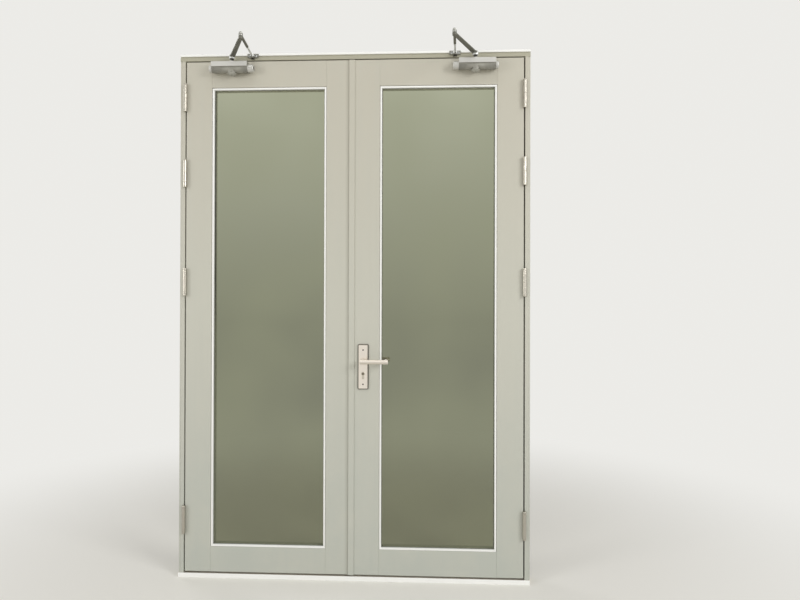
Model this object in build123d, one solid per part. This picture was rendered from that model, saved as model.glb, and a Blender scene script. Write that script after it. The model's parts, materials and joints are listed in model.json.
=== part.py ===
# Double-leaf glazed steel fire door with its frame.
# X to the right, Y into the building, Z up from the floor, in millimetres.
# Shapes are drawn with the front face of leaves and frame at Y = 0, then moved back by half the
# frame depth, so the origin lies in the middle of the sill's underside.
# The active leaf, with the lever, is the one at +X and has the tag a; the other has the tag i.
import os
from math import atan2, degrees, hypot, sqrt

from build123d import *

# Leaves and the gaps round them
LEAF_W = 786.0
LEAF_H = 2393.0
LEAF_T = 50.0
HINGE_GAP = 6.0       # leaf to jamb
MEET_GAP = 6.0        # leaf to leaf
TOP_GAP = 5.0         # leaf to head
SILL_GAP = 8.0        # leaf to sill
SHEET = 2.0           # folded sheet
EDGE = 3.0            # thicker edges of a leaf
STILE_W = 122.0       # stiles and top rail
LOW_RAIL = 118.0      # bottom rail
BEAD_W = 10.0         # white front bead
REAR_W = 20.0         # steel glazing bars behind the glass
BEAD_BACK = 1.0       # bead behind the leaf's face
GLASS_T = 14.0        # laminated glass
GLASS_Y = 12.0        # its front behind the leaf's face
GLASS_IN = 4.0        # room round its edges
STRIP_OVER = 22.0     # cover strip past the edge of the active leaf
STRIP_ON = 8.0        # cover strip on the leaf
STRIP_T = 4.0
STRIP_AIR = 0.8       # strip in front of the other leaf

# Frame
SILL_H = 20.0
JAMB_FACE = 24.0      # visible face of a jamb
HEAD_FACE = 24.0      # visible face of the head
FRAME_D = 90.0
STOP_W = 18.0         # how far the rebate stands in
STOP_GAP = 6.0        # room for the seal behind a leaf
STEP_W = 8.0          # stepped outer edge of the face
STEP_D = 3.0
SEAL_W = 12.0
SEAL_AIR = 0.4        # seal behind the shut leaf
MASTIC_UP = 8.0       # sealant bead above the head
MASTIC_T = 3.0
MASTIC_LAP = 3.0      # how far it comes down over the head
MASTIC_IN = 10.0      # how deep it lies on the head
MASTIC_LOW = 5.0      # sealant bead in front of the sill
ANCHOR_R = 4.5        # wall anchor holes
ANCHOR_Z = 320.0
ANCHOR_STEP = 600.0
ANCHOR_COUNT = 4

# Hinges
HINGE_L = 132.0
HINGE_R = 8.5         # barrel
PIN_R = 5.0
PIN_AIR = 0.05        # running fit of the upper barrel on the pin
PIN_END = 0.3         # pin below the end of that bore
KNUCKLE_GAP = 0.6     # between the two barrels
AXIS_Y = -10.0        # hinge axis in front of the face
FLAP_T = 2.5
FLAP_D = 30.0         # flap into the gap
NECK_D = 3.0          # flap out to the barrel
TIP = 6.0             # closed end of a barrel
HINGE_Z = [0.1018, 0.5668, 0.7805, 0.9295]   # hinge centres as parts of the leaf height

# Lock set
LEVER_Z = 1020.0      # lever axis above the floor
BACKSET = 47.0        # lever axis from the leaf edge
PLATE_W = 48.0
PLATE_UP = 77.0       # plate above and below the lever axis
PLATE_DOWN = 131.0
PLATE_T = 8.0
PLATE_R = 6.0         # its corners
LEVER_R = 10.5        # lever bar
NECK_R = 9.5          # its neck and return leg
LEVER_OUT = 55.0      # axis of the lever bar in front of the leaf
LEVER_REACH = 106.0   # lever axis to the return leg
LEVER_NEAR = 10.0     # bar past the neck's axis and past the leg's
LEVER_END = 12.0
LEG_AIR = 16.0        # return leg in front of the leaf
COLLAR_L = 24.0       # lever's collar in the plate
LEVER_FIT = 0.05      # running fit of that collar
SPINDLE_W = 8.0       # square spindle
SPINDLE_IN = 38.0     # spindle past the leaf's face, into the lever
CYL_DROP = 59.0       # cylinder below the lever axis
CYL_R = 8.5
CYL_W = 10.0          # its lower part
CYL_LOW = 24.5
CYL_PROUD = 3.0       # cylinder past the plate
CYL_AIR = 0.5         # opening round the cylinder
PLUG_R = 6.0
PLUG_AIR = 0.05
KNOB_L = 17.0         # thumb turn inside
KNOB_W = 9.0
KNOB_H = 26.0
SCREW_R = 2.5
SCREW_UP = 51.0
SCREW_DOWN = 108.0
CASE_UP = 42.0        # lock case above and below the lever axis
CASE_DOWN = 95.0
CASE_BACK = 32.0      # behind the lever axis
CASE_T = 18.0
CASE_WALL = 1.5
FOREND_UP = 90.0
FOREND_DOWN = 145.0
FOREND_W = 20.0
FOLLOWER_R = 11.0
FOLLOWER_T = 14.0
LATCH_UP = 10.0       # latch centre above the lever axis
LATCH_H = 28.0
LATCH_T = 12.0
LATCH_OUT = 12.0
LATCH_TAIL = 22.0
DEAD_DOWN = 45.0      # dead bolt centre below the lever axis
DEAD_H = 30.0
DEAD_T = 14.0
DEAD_TAIL = 31.0
BOLT_AIR = 0.4        # openings round the bolts
STRIKE_W = 26.0
STRIKE_UP = 55.0
STRIKE_DOWN = 90.0
POCKET_W = 20.0       # openings in the strike plate
LATCH_DEEP = 9.0      # pockets behind them
DEAD_DEEP = 18.0

# Flush bolts of the inactive leaf
BOLT_IN = 12.0        # bolt axis from the leaf edge
BOLT_R = 5.0
KEEP_R = 9.0
KEEP_AIR = 0.1        # openings round the keeps
KEEP_FLOOR = 4.0      # sill left under the lower keep
BOLT_THROW = 18.0
FACE_H = 200.0        # slotted faceplate
FACE_W = 16.0
FACE_END = 20.0       # from the leaf's end
BOLT_LONG = 60.0      # rod past the thumb slide

# Closers and their arms, seen from the hinge axis
CLOSER_X = 136.0      # near end of the body
CLOSER_L = 168.0      # body without its end caps
CLOSER_TOP = 15.0     # below the leaf top
BLOCK_H = 24.0        # upright front
BLOCK_D = 50.0
BLOCK_SOFT = 3.0      # its upper edge
TUBE_DROP = 29.0      # axis of the round lower part below the top
TUBE_R = 18.5
FOOT_H = 40.0         # foot against the leaf, from the top
FOOT_D = 16.0
CAP_R = 17.5          # end caps of the round part
CAP_NEAR = 14.0
CAP_FAR = 27.0
CAP_SOFT = 3.0
BOSS_R = 20.0         # flat boss and cap under the spindle
BOSS_T = 2.0
LOW_CAP_T = 10.0
LOW_CAP_TIP = 11.0
SPINDLE_X = 228.0
SPINDLE_Y = -28.0
SPINDLE_R = 7.0
SPINDLE_AIR = 0.05
HUB_R = 12.5
HUB_LOW = 10.0        # arm's hub below the arm
SHOE_X = 320.0
SHOE_Y = -20.0
SHOE_L = 52.0         # plate of the shoe, on the head and in front of the sealant
SHOE_T = 6.0
SHOE_UP = 12.0        # its lower edge above the head's
SHOE_H = 17.0
SHOE_TAB = 6.0        # lug under the eye of the adjusting rod
EYE_R = 9.0
ARM_L = 229.0
ARM_W = 23.0
ARM_TIP = 18.0
ARM_T = 7.0
ARM_UP = 8.0          # main arm above the leaf
ELBOW_R = 9.5
ELBOW_PIN = 4.0
NUT_R = 8.0           # nut on the elbow pin, and the pin's end above it
STUD_R = 5.5
FOREARM_L = 212.0
SLEEVE = 0.56         # sleeve's part of the forearm
SLEEVE_W = 12.0
SLEEVE_T = 9.0
ROD_W = 8.0

# Derived places
EDGE_IN = MEET_GAP / 2
EDGE_OUT = EDGE_IN + LEAF_W
AXIS_X = EDGE_OUT + HINGE_GAP / 2
JAMB_IN = EDGE_OUT + HINGE_GAP
JAMB_OUT = JAMB_IN + JAMB_FACE
STOP_IN = JAMB_IN - STOP_W
Z0 = SILL_H + SILL_GAP
Z1 = Z0 + LEAF_H
HEAD_Z = Z1 + TOP_GAP
HEAD_TOP = HEAD_Z + HEAD_FACE
STOP_Y = LEAF_T + STOP_GAP
OPEN_IN = EDGE_IN + STILE_W
OPEN_OUT = EDGE_OUT - STILE_W
OPEN_Z0 = Z0 + LOW_RAIL
OPEN_Z1 = Z1 - STILE_W
GLASS_BACK = GLASS_Y + GLASS_T
MID_Y = LEAF_T / 2
LEVER_X = EDGE_IN + BACKSET
CYL_Z = LEVER_Z - CYL_DROP
LATCH_Z = LEVER_Z + LATCH_UP
DEAD_Z = LEVER_Z - DEAD_DOWN
SCREW_Z = [LEVER_Z + SCREW_UP, LEVER_Z - SCREW_DOWN]
HINGES = [Z0 + share * LEAF_H for share in HINGE_Z]
BOLT_X = -EDGE_IN - BOLT_IN
CLOSER_Z1 = Z1 - CLOSER_TOP
TUBE_Z = CLOSER_Z1 - TUBE_DROP
CLOSER_Z0 = TUBE_Z - TUBE_R
ARM_Z = Z1 + ARM_UP
FORE_Z = ARM_Z + ARM_T + 1

os.makedirs("parts", exist_ok=True)


def box(x0, x1, y0, y1, z0, z1):
    # box between two corners, given in any order
    middle = Pos((x0 + x1) / 2, (y0 + y1) / 2, (z0 + z1) / 2)
    return middle * Box(abs(x1 - x0), abs(y1 - y0), abs(z1 - z0))


def rod_x(x0, x1, y, z, r):
    return Pos((x0 + x1) / 2, y, z) * Rot(0, 90, 0) * Cylinder(r, abs(x1 - x0))


def rod_y(x, y0, y1, z, r):
    return Pos(x, (y0 + y1) / 2, z) * Rot(90, 0, 0) * Cylinder(r, abs(y1 - y0))


def rod_z(x, y, z0, z1, r):
    return Pos(x, y, (z0 + z1) / 2) * Cylinder(r, abs(z1 - z0))


def outline(*points):
    return make_face(Polyline(*points, close=True))


def inside(profile):
    # what a sheet folded round this profile leaves open
    return offset(profile, amount=-SHEET, kind=Kind.INTERSECTION)


def along_x(profile, x0, x1):
    # a profile drawn as (Y, Z), run from x0 to x1
    return extrude(Plane.YZ.offset(x0) * profile, amount=x1 - x0)


def along_z(profile, z0, z1):
    # a profile drawn as (X, Y), run from z0 to z1
    return extrude(Plane.XY.offset(z0) * profile, amount=z1 - z0)


def save(name, *shapes):
    # one file per node; several loose pieces go in as one compound
    solids = []
    for shape in shapes:
        moved = Pos(0, -FRAME_D / 2, 0) * shape
        solids += list(moved.solids())
    whole = solids[0] if len(solids) == 1 else Compound(children=solids)
    export_step(whole, f"parts/{name}.step")


# Frame: folded sheet profiles with a stepped face and a rebate that the leaves shut on
def make_jamb(side):
    profile = outline(
        (JAMB_IN, 0), (JAMB_OUT - STEP_W, 0), (JAMB_OUT - STEP_W, STEP_D), (JAMB_OUT, STEP_D),
        (JAMB_OUT, FRAME_D), (STOP_IN, FRAME_D), (STOP_IN, STOP_Y), (JAMB_IN, STOP_Y),
    )
    jamb = along_z(profile - inside(profile), SILL_H, HEAD_Z)
    for k in range(ANCHOR_COUNT):
        z = ANCHOR_Z + k * ANCHOR_STEP
        jamb -= rod_x(JAMB_IN - 1, JAMB_OUT + 1, LEAF_T - STOP_GAP, z, ANCHOR_R)
    return jamb if side > 0 else mirror(jamb, about=Plane.YZ)


def make_head():
    face = outline(
        (0, HEAD_Z), (0, HEAD_TOP - STEP_W), (STEP_D, HEAD_TOP - STEP_W), (STEP_D, HEAD_TOP),
        (FRAME_D, HEAD_TOP), (FRAME_D, HEAD_Z),
    )
    low = HEAD_Z - STOP_W
    stop = outline((STOP_Y, low), (STOP_Y, HEAD_Z), (FRAME_D, HEAD_Z), (FRAME_D, low))
    head = along_x(face, -JAMB_OUT, JAMB_OUT) + along_x(stop, -STOP_IN, STOP_IN)
    head -= along_x(inside(face), SHEET - JAMB_OUT, JAMB_OUT - SHEET)
    head -= along_x(inside(face + stop), SHEET - STOP_IN, STOP_IN - SHEET)
    return head - rod_z(BOLT_X, MID_Y, HEAD_Z - 1, HEAD_Z + SHEET + 1, KEEP_R + KEEP_AIR)


def make_keep(z0, z1, open_up):
    # cup that takes a flush bolt, closed at its far end
    cup = rod_z(BOLT_X, MID_Y, z0, z1, KEEP_R)
    a, b = (z0 + 1, z1 + 1) if open_up else (z0 - 1, z1 - 1)
    return cup - rod_z(BOLT_X, MID_Y, a, b, BOLT_R + 1)


save("jamb_left", make_jamb(-1))
save("jamb_right", make_jamb(1))
save("head", make_head())
sill = box(-JAMB_OUT, JAMB_OUT, 0, FRAME_D, 0, SILL_H)
save("sill", sill - rod_z(BOLT_X, MID_Y, KEEP_FLOOR, SILL_H + 1, KEEP_R + KEEP_AIR))
save("bolt_keeps", make_keep(HEAD_Z, HEAD_TOP - SHEET, False), make_keep(KEEP_FLOOR, SILL_H, True))

SEAL_X = STOP_IN + SHEET
SEAL_Z = HEAD_Z - STOP_W + SHEET
seals = [box(-SEAL_X + 3, SEAL_X - 3, LEAF_T + SEAL_AIR, STOP_Y, SEAL_Z, SEAL_Z + SEAL_W)]
for side in (-1, 1):
    seals.append(box(side * SEAL_X, side * (SEAL_X + SEAL_W), LEAF_T + SEAL_AIR, STOP_Y,
                     SILL_H + 1, HEAD_Z - SHEET))
save("rebate_seal", *seals)

over_head = outline(
    (-MASTIC_T, HEAD_TOP - MASTIC_LAP + 1.5), (-MASTIC_T / 2, HEAD_TOP - MASTIC_LAP),
    (STEP_D, HEAD_TOP - MASTIC_LAP), (STEP_D, HEAD_TOP),
    (MASTIC_IN, HEAD_TOP), (MASTIC_IN, HEAD_TOP + MASTIC_UP), (-MASTIC_T / 2, HEAD_TOP + MASTIC_UP),
    (-MASTIC_T, HEAD_TOP + MASTIC_UP - 1.5),
)
save("head_mastic", along_x(over_head, -JAMB_OUT, JAMB_OUT))
fore_sill = outline((-MASTIC_LOW, 0), (0, 0), (0, SILL_H), (3 - MASTIC_LOW, SILL_H),
                    (-MASTIC_LOW, SILL_H - 3))
save("sill_mastic", along_x(fore_sill, -JAMB_OUT, JAMB_OUT))


# Hinges: the lower barrel belongs to the frame, the upper one to the leaf
def hinge_half(side, middle, upper):
    way = 1 if upper else -1
    near = middle + way * KNUCKLE_GAP / 2
    end = middle + way * HINGE_L / 2
    face = EDGE_OUT if upper else JAMB_IN
    back = face + way * FLAP_T
    flap = box(side * face, side * back, 0, FLAP_D, middle - HINGE_L / 2, middle + HINGE_L / 2)
    flap += box(side * face, side * back, -NECK_D, 0, near, end)
    barrel = rod_z(side * AXIS_X, AXIS_Y, near, end, HINGE_R)
    bore = PIN_R + PIN_AIR if upper else PIN_R
    return flap + barrel - rod_z(side * AXIS_X, AXIS_Y, near - way, end - way * TIP, bore)


def hinge_pin(side, middle):
    # fixed in the lower barrel; the upper barrel runs on it
    reach = HINGE_L / 2 - TIP
    return rod_z(side * AXIS_X, AXIS_Y, middle - reach, middle + reach - PIN_END, PIN_R)


save("frame_hinges", *[hinge_half(side, z, False) for side in (-1, 1) for z in HINGES])
save("hinge_pins", *[hinge_pin(side, z) for side in (-1, 1) for z in HINGES])
save("a_hinges", *[hinge_half(1, z, True) for z in HINGES])
save("i_hinges", *[hinge_half(-1, z, True) for z in HINGES])

# Places that several pieces of the lock share
CASE = dict(x0=EDGE_IN + EDGE, x1=LEVER_X + CASE_BACK, y0=MID_Y - CASE_T / 2,
            y1=MID_Y + CASE_T / 2, z0=LEVER_Z - CASE_DOWN, z1=LEVER_Z + CASE_UP)
CASE_IN = dict(x0=CASE["x0"] - 1, x1=CASE["x1"] - CASE_WALL, y0=CASE["y0"] + CASE_WALL,
               y1=CASE["y1"] - CASE_WALL, z0=CASE["z0"] + CASE_WALL, z1=CASE["z1"] - CASE_WALL)
FOREND = dict(x0=EDGE_IN, x1=EDGE_IN + EDGE, y0=MID_Y - FOREND_W / 2, y1=MID_Y + FOREND_W / 2,
              z0=LEVER_Z - FOREND_DOWN, z1=LEVER_Z + FOREND_UP)
STRIKE = dict(x0=-EDGE_IN - EDGE, x1=-EDGE_IN, y0=MID_Y - STRIKE_W / 2, y1=MID_Y + STRIKE_W / 2,
              z0=LEVER_Z - STRIKE_DOWN, z1=LEVER_Z + STRIKE_UP)


def cylinder_shape(y0, y1, grow=0.0):
    # the pear-shaped section of a lock cylinder
    low = box(LEVER_X - CYL_W / 2 - grow, LEVER_X + CYL_W / 2 + grow, y0, y1,
              CYL_Z - CYL_LOW - grow, CYL_Z)
    return low + rod_y(LEVER_X, y0, y1, CYL_Z, CYL_R + grow)


def lock_holes(y0, y1, spindle_r):
    holes = cylinder_shape(y0, y1, CYL_AIR) + rod_y(LEVER_X, y0, y1, LEVER_Z, spindle_r)
    for z in SCREW_Z:
        holes += rod_y(LEVER_X, y0, y1, z, SCREW_R + SPINDLE_AIR)
    return holes


def lock_room():
    # the board is cut away round case, cylinder and screws
    return box(EDGE_IN, CASE["x1"], 0, LEAF_T, SCREW_Z[1] - 2 * SCREW_R, SCREW_Z[0] + 2 * SCREW_R)


def strike_room():
    x = -EDGE_IN - EDGE
    room = box(x, x - LATCH_DEEP, MID_Y - POCKET_W / 2, MID_Y + POCKET_W / 2,
               LATCH_Z - LATCH_H / 2 - 3, LATCH_Z + LATCH_H / 2 + 3)
    return room + box(x, x - DEAD_DEEP, MID_Y - POCKET_W / 2, MID_Y + POCKET_W / 2,
                      DEAD_Z - DEAD_H / 2 - 3, DEAD_Z + DEAD_H / 2 + 3)


def face_box(up):
    # faceplate of a flush bolt
    low = Z1 - FACE_END - FACE_H if up else Z0 + FACE_END
    return dict(x0=-EDGE_IN - EDGE, x1=-EDGE_IN, y0=MID_Y - FACE_W / 2, y1=MID_Y + FACE_W / 2,
                z0=low, z1=low + FACE_H)


def bolt_room(up):
    place = face_box(up)
    a, b = (place["z0"], Z1 - EDGE) if up else (Z0 + EDGE, place["z1"])
    return box(-EDGE_IN - EDGE, BOLT_X - BOLT_R - 1, MID_Y - BOLT_R - 2, MID_Y + BOLT_R + 2, a, b)


# Leaves: four folded steel members round the glass, filled with board
def member(x0, x1, z0, z1):
    core = box(x0 + EDGE, x1 - EDGE, SHEET, LEAF_T - SHEET, z0 + EDGE, z1 - EDGE)
    return box(x0, x1, 0, LEAF_T, z0, z1) - core, core


def make_leaf(tag, side):
    left, right = sorted((side * OPEN_IN, side * OPEN_OUT))
    meeting, meeting_core = member(*sorted((side * EDGE_IN, side * OPEN_IN)), Z0, Z1)
    hanging, hanging_core = member(*sorted((side * OPEN_OUT, side * EDGE_OUT)), Z0, Z1)
    top, top_core = member(left, right, OPEN_Z1, Z1)
    low, low_core = member(left, right, Z0, OPEN_Z0)
    if tag == "a":
        meeting -= lock_holes(-1, LEAF_T + 1, FOLLOWER_R) + box(**FOREND)
        meeting_core -= lock_room()
    else:
        meeting -= box(**STRIKE) + rod_z(BOLT_X, MID_Y, Z0 - 1, Z1 + 1, BOLT_R + BOLT_AIR)
        meeting_core -= strike_room()
        for up in (True, False):
            meeting -= box(**face_box(up))
            meeting_core -= bolt_room(up)
    save(tag + "_meeting_stile", meeting)
    save(tag + "_hinge_stile", hanging)
    save(tag + "_top_rail", top)
    save(tag + "_bottom_rail", low)
    save(tag + "_boards", meeting_core, hanging_core, top_core, low_core)
    save(tag + "_glass", box(left + GLASS_IN, right - GLASS_IN, GLASS_Y, GLASS_BACK,
                             OPEN_Z0, OPEN_Z1 - GLASS_IN))
    front, rear = [], []
    for bars, width, y0, y1 in ((front, BEAD_W, BEAD_BACK, GLASS_Y), (rear, REAR_W, GLASS_BACK, LEAF_T)):
        inner = (left + width, right - width)
        bars.append(box(left, inner[0], y0, y1, OPEN_Z0, OPEN_Z1))
        bars.append(box(inner[1], right, y0, y1, OPEN_Z0, OPEN_Z1))
        bars.append(box(*inner, y0, y1, OPEN_Z0, OPEN_Z0 + width))
        bars.append(box(*inner, y0, y1, OPEN_Z1 - width, OPEN_Z1))
    save(tag + "_front_bead", *front)
    save(tag + "_rear_bars", *rear)


make_leaf("a", 1)
make_leaf("i", -1)

strip = outline(
    (EDGE_IN + STRIP_ON, -STRIP_T), (EDGE_IN + STRIP_ON, 0), (EDGE_IN, 0), (EDGE_IN, -STRIP_AIR),
    (EDGE_IN - STRIP_OVER, -STRIP_AIR), (EDGE_IN - STRIP_OVER, -STRIP_T),
)
strip = fillet(strip.vertices().group_by(Axis.X)[0].sort_by(Axis.Y)[0], STRIP_T - STRIP_AIR - 0.6)
save("cover_strip", along_z(strip, Z0, Z1))

# Mortice lock: an open case with its forend, and what moves in it
case = box(**CASE) - box(**CASE_IN)
case -= rod_y(LEVER_X, 0, LEAF_T, LEVER_Z, FOLLOWER_R - 3) + cylinder_shape(0, LEAF_T, CYL_AIR)
case += box(**FOREND)
for z, h, t in ((LATCH_Z, LATCH_H, LATCH_T), (DEAD_Z, DEAD_H, DEAD_T)):
    case -= box(EDGE_IN - 1, EDGE_IN + EDGE + 1, MID_Y - t / 2 - BOLT_AIR, MID_Y + t / 2 + BOLT_AIR,
                z - h / 2 - BOLT_AIR, z + h / 2 + BOLT_AIR)
save("lock_case", case)

latch_head = outline(
    (EDGE_IN + LATCH_OUT, MID_Y - LATCH_T / 2), (EDGE_IN + LATCH_OUT, MID_Y + LATCH_T / 2),
    (EDGE_IN - 3, MID_Y + LATCH_T / 2), (EDGE_IN - LATCH_OUT, MID_Y - LATCH_T / 2 + 4),
    (EDGE_IN - LATCH_OUT, MID_Y - LATCH_T / 2),
)
latch = along_z(latch_head, LATCH_Z - LATCH_H / 2, LATCH_Z + LATCH_H / 2)
latch += box(EDGE_IN + LATCH_OUT, EDGE_IN + LATCH_TAIL, CASE_IN["y0"], CASE_IN["y1"],
             LATCH_Z - LATCH_H / 2, LATCH_Z + LATCH_H / 2 - 2)
save("latch_bolt", latch)
dead = box(EDGE_IN + 0.5, EDGE_IN + DEAD_TAIL - 7, MID_Y - DEAD_T / 2, MID_Y + DEAD_T / 2,
           DEAD_Z - DEAD_H / 2, DEAD_Z + DEAD_H / 2)
dead += box(EDGE_IN + DEAD_TAIL - 7, EDGE_IN + DEAD_TAIL, CASE_IN["y0"], CASE_IN["y1"],
            DEAD_Z - DEAD_H / 2, DEAD_Z + DEAD_H / 2)
save("dead_bolt", dead)

# Cylinder: fixed body, with the plug, its cam and the thumb turn in it
CYL_Y0 = -PLATE_T - CYL_PROUD
CYL_Y1 = LEAF_T + PLATE_T + CYL_PROUD
CAM_T = 9.0
body = cylinder_shape(CYL_Y0, CYL_Y1)
body -= box(LEVER_X - 10, LEVER_X + 10, MID_Y - CAM_T / 2 - 0.5, MID_Y + CAM_T / 2 + 0.5,
            CYL_Z - 17, CYL_Z + 10)
body -= rod_y(LEVER_X, CYL_Y0 - 1, CYL_Y1 + 1, CYL_Z, PLUG_R + PLUG_AIR)
save("cylinder_body", body)
plug = rod_y(LEVER_X, CYL_Y0 - 0.5, CYL_Y1 + 5, CYL_Z, PLUG_R)
plug += rod_y(LEVER_X, MID_Y - CAM_T / 2, MID_Y + CAM_T / 2, CYL_Z, CYL_R - 0.2)
plug += box(LEVER_X - 4, LEVER_X + 4, MID_Y - CAM_T / 2, MID_Y + CAM_T / 2, CYL_Z - 14, CYL_Z)
plug -= box(LEVER_X - 0.8, LEVER_X + 0.8, CYL_Y0 - 2, CYL_Y0 + 18, CYL_Z - 4.5, CYL_Z + 4)
knob = box(LEVER_X - KNOB_W / 2, LEVER_X + KNOB_W / 2, CYL_Y1 + 5, CYL_Y1 + 5 + KNOB_L,
           CYL_Z - KNOB_H / 2, CYL_Z + KNOB_H / 2)
save("cylinder_plug", plug + fillet(knob.edges().filter_by(Axis.Y), KNOB_W / 2 - 1))


# Plates, through screws and levers
def make_plate(y0, y1):
    plate = box(LEVER_X - PLATE_W / 2, LEVER_X + PLATE_W / 2, y0, y1, LEVER_Z - PLATE_DOWN,
                LEVER_Z + PLATE_UP)
    plate = fillet(plate.edges().filter_by(Axis.Y), PLATE_R)
    plate -= rod_y(LEVER_X, y0 - 1, y1 + 1, LEVER_Z, LEVER_R + 0.5 + LEVER_FIT)
    plate -= cylinder_shape(y0 - 1, y1 + 1, LEVER_FIT)
    for z in SCREW_Z:
        plate -= rod_y(LEVER_X, y0 - 1, y1 + 1, z, SCREW_R + SPINDLE_AIR)
    return plate


save("outer_plate", make_plate(-PLATE_T, 0))
save("inner_plate", make_plate(LEAF_T, LEAF_T + PLATE_T))
save("plate_screws", *[rod_y(LEVER_X, -PLATE_T, LEAF_T + PLATE_T, z, SCREW_R) for z in SCREW_Z])


def make_lever(outward, face):
    # collar and neck out of the plate, straight bar, and a leg back towards the leaf
    bar_y = face + outward * LEVER_OUT
    tip_x = LEVER_X + LEVER_REACH
    lever = rod_x(LEVER_X - LEVER_NEAR, tip_x + LEVER_END, bar_y, LEVER_Z, LEVER_R)
    lever += rod_y(LEVER_X, face + outward, bar_y, LEVER_Z, NECK_R)
    lever += rod_y(tip_x, face + outward * LEG_AIR, bar_y, LEVER_Z, NECK_R)
    lever += rod_y(LEVER_X, face + outward, face + outward * COLLAR_L, LEVER_Z, LEVER_R + 0.5)
    half = SPINDLE_W / 2
    return lever - box(LEVER_X - half, LEVER_X + half, face, face + outward * SPINDLE_IN,
                       LEVER_Z - half, LEVER_Z + half)


save("outer_lever", make_lever(-1, 0))
save("inner_lever", make_lever(1, LEAF_T))
spindle = box(LEVER_X - SPINDLE_W / 2, LEVER_X + SPINDLE_W / 2, -SPINDLE_IN, LEAF_T + SPINDLE_IN,
              LEVER_Z - SPINDLE_W / 2, LEVER_Z + SPINDLE_W / 2)
save("handle_spindle", spindle)
follower = rod_y(LEVER_X, MID_Y - FOLLOWER_T / 2, MID_Y + FOLLOWER_T / 2, LEVER_Z, FOLLOWER_R)
save("lock_follower", follower - spindle)

strike = box(**STRIKE)
for z, h in ((LATCH_Z, LATCH_H), (DEAD_Z, DEAD_H)):
    strike -= box(0, -EDGE_IN - EDGE - 1, MID_Y - POCKET_W / 2, MID_Y + POCKET_W / 2,
                  z - h / 2 - 3, z + h / 2 + 3)
save("strike_plate", strike)

# Flush bolts: a rod with a thumb slide behind a slotted faceplate
faces = []
for up in (True, False):
    place = face_box(up)
    middle = place["z0"] + FACE_H / 2
    way = 1 if up else -1
    faces.append(box(**place) - box(0, -EDGE_IN - EDGE - 1, MID_Y - 3.5, MID_Y + 3.5,
                                    middle - way * 6, middle + way * (BOLT_THROW + 6)))
    end = Z1 - 1 if up else Z0 + 1
    bolt = rod_z(BOLT_X, MID_Y, middle - way * BOLT_LONG, end, BOLT_R)
    bolt += box(-EDGE_IN - EDGE, BOLT_X, MID_Y - BOLT_R, MID_Y + BOLT_R, middle - 10, middle + 10)
    bolt += box(-EDGE_IN - 0.5, -EDGE_IN - EDGE, MID_Y - 3, MID_Y + 3, middle - 5, middle + 5)
    save("top_bolt" if up else "bottom_bolt", bolt)
save("bolt_faceplates", *faces)


# Closers and their arms
def elbow():
    # elbow with the leaf shut, as (X, Y) from the hinge axis for a leaf that runs along +X
    dx, dy = SHOE_X - SPINDLE_X, SHOE_Y - SPINDLE_Y
    span = hypot(dx, dy)
    along = (ARM_L ** 2 - FOREARM_L ** 2 + span ** 2) / (2 * span)
    out = sqrt(ARM_L ** 2 - along ** 2)
    return SPINDLE_X + (along * dx + out * dy) / span, SPINDLE_Y + (along * dy - out * dx) / span


def arm_bar(start, end, w0, w1, z0, z1):
    # flat bar between two points, tapering from w0 to w1
    dx, dy = end[0] - start[0], end[1] - start[1]
    length = hypot(dx, dy)
    flat = outline((0, -w0 / 2), (length, -w1 / 2), (length, w1 / 2), (0, w0 / 2))
    bar = extrude(flat, amount=z1 - z0)
    return Pos(start[0], start[1], z0) * Rot(0, 0, degrees(atan2(dy, dx))) * bar


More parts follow.
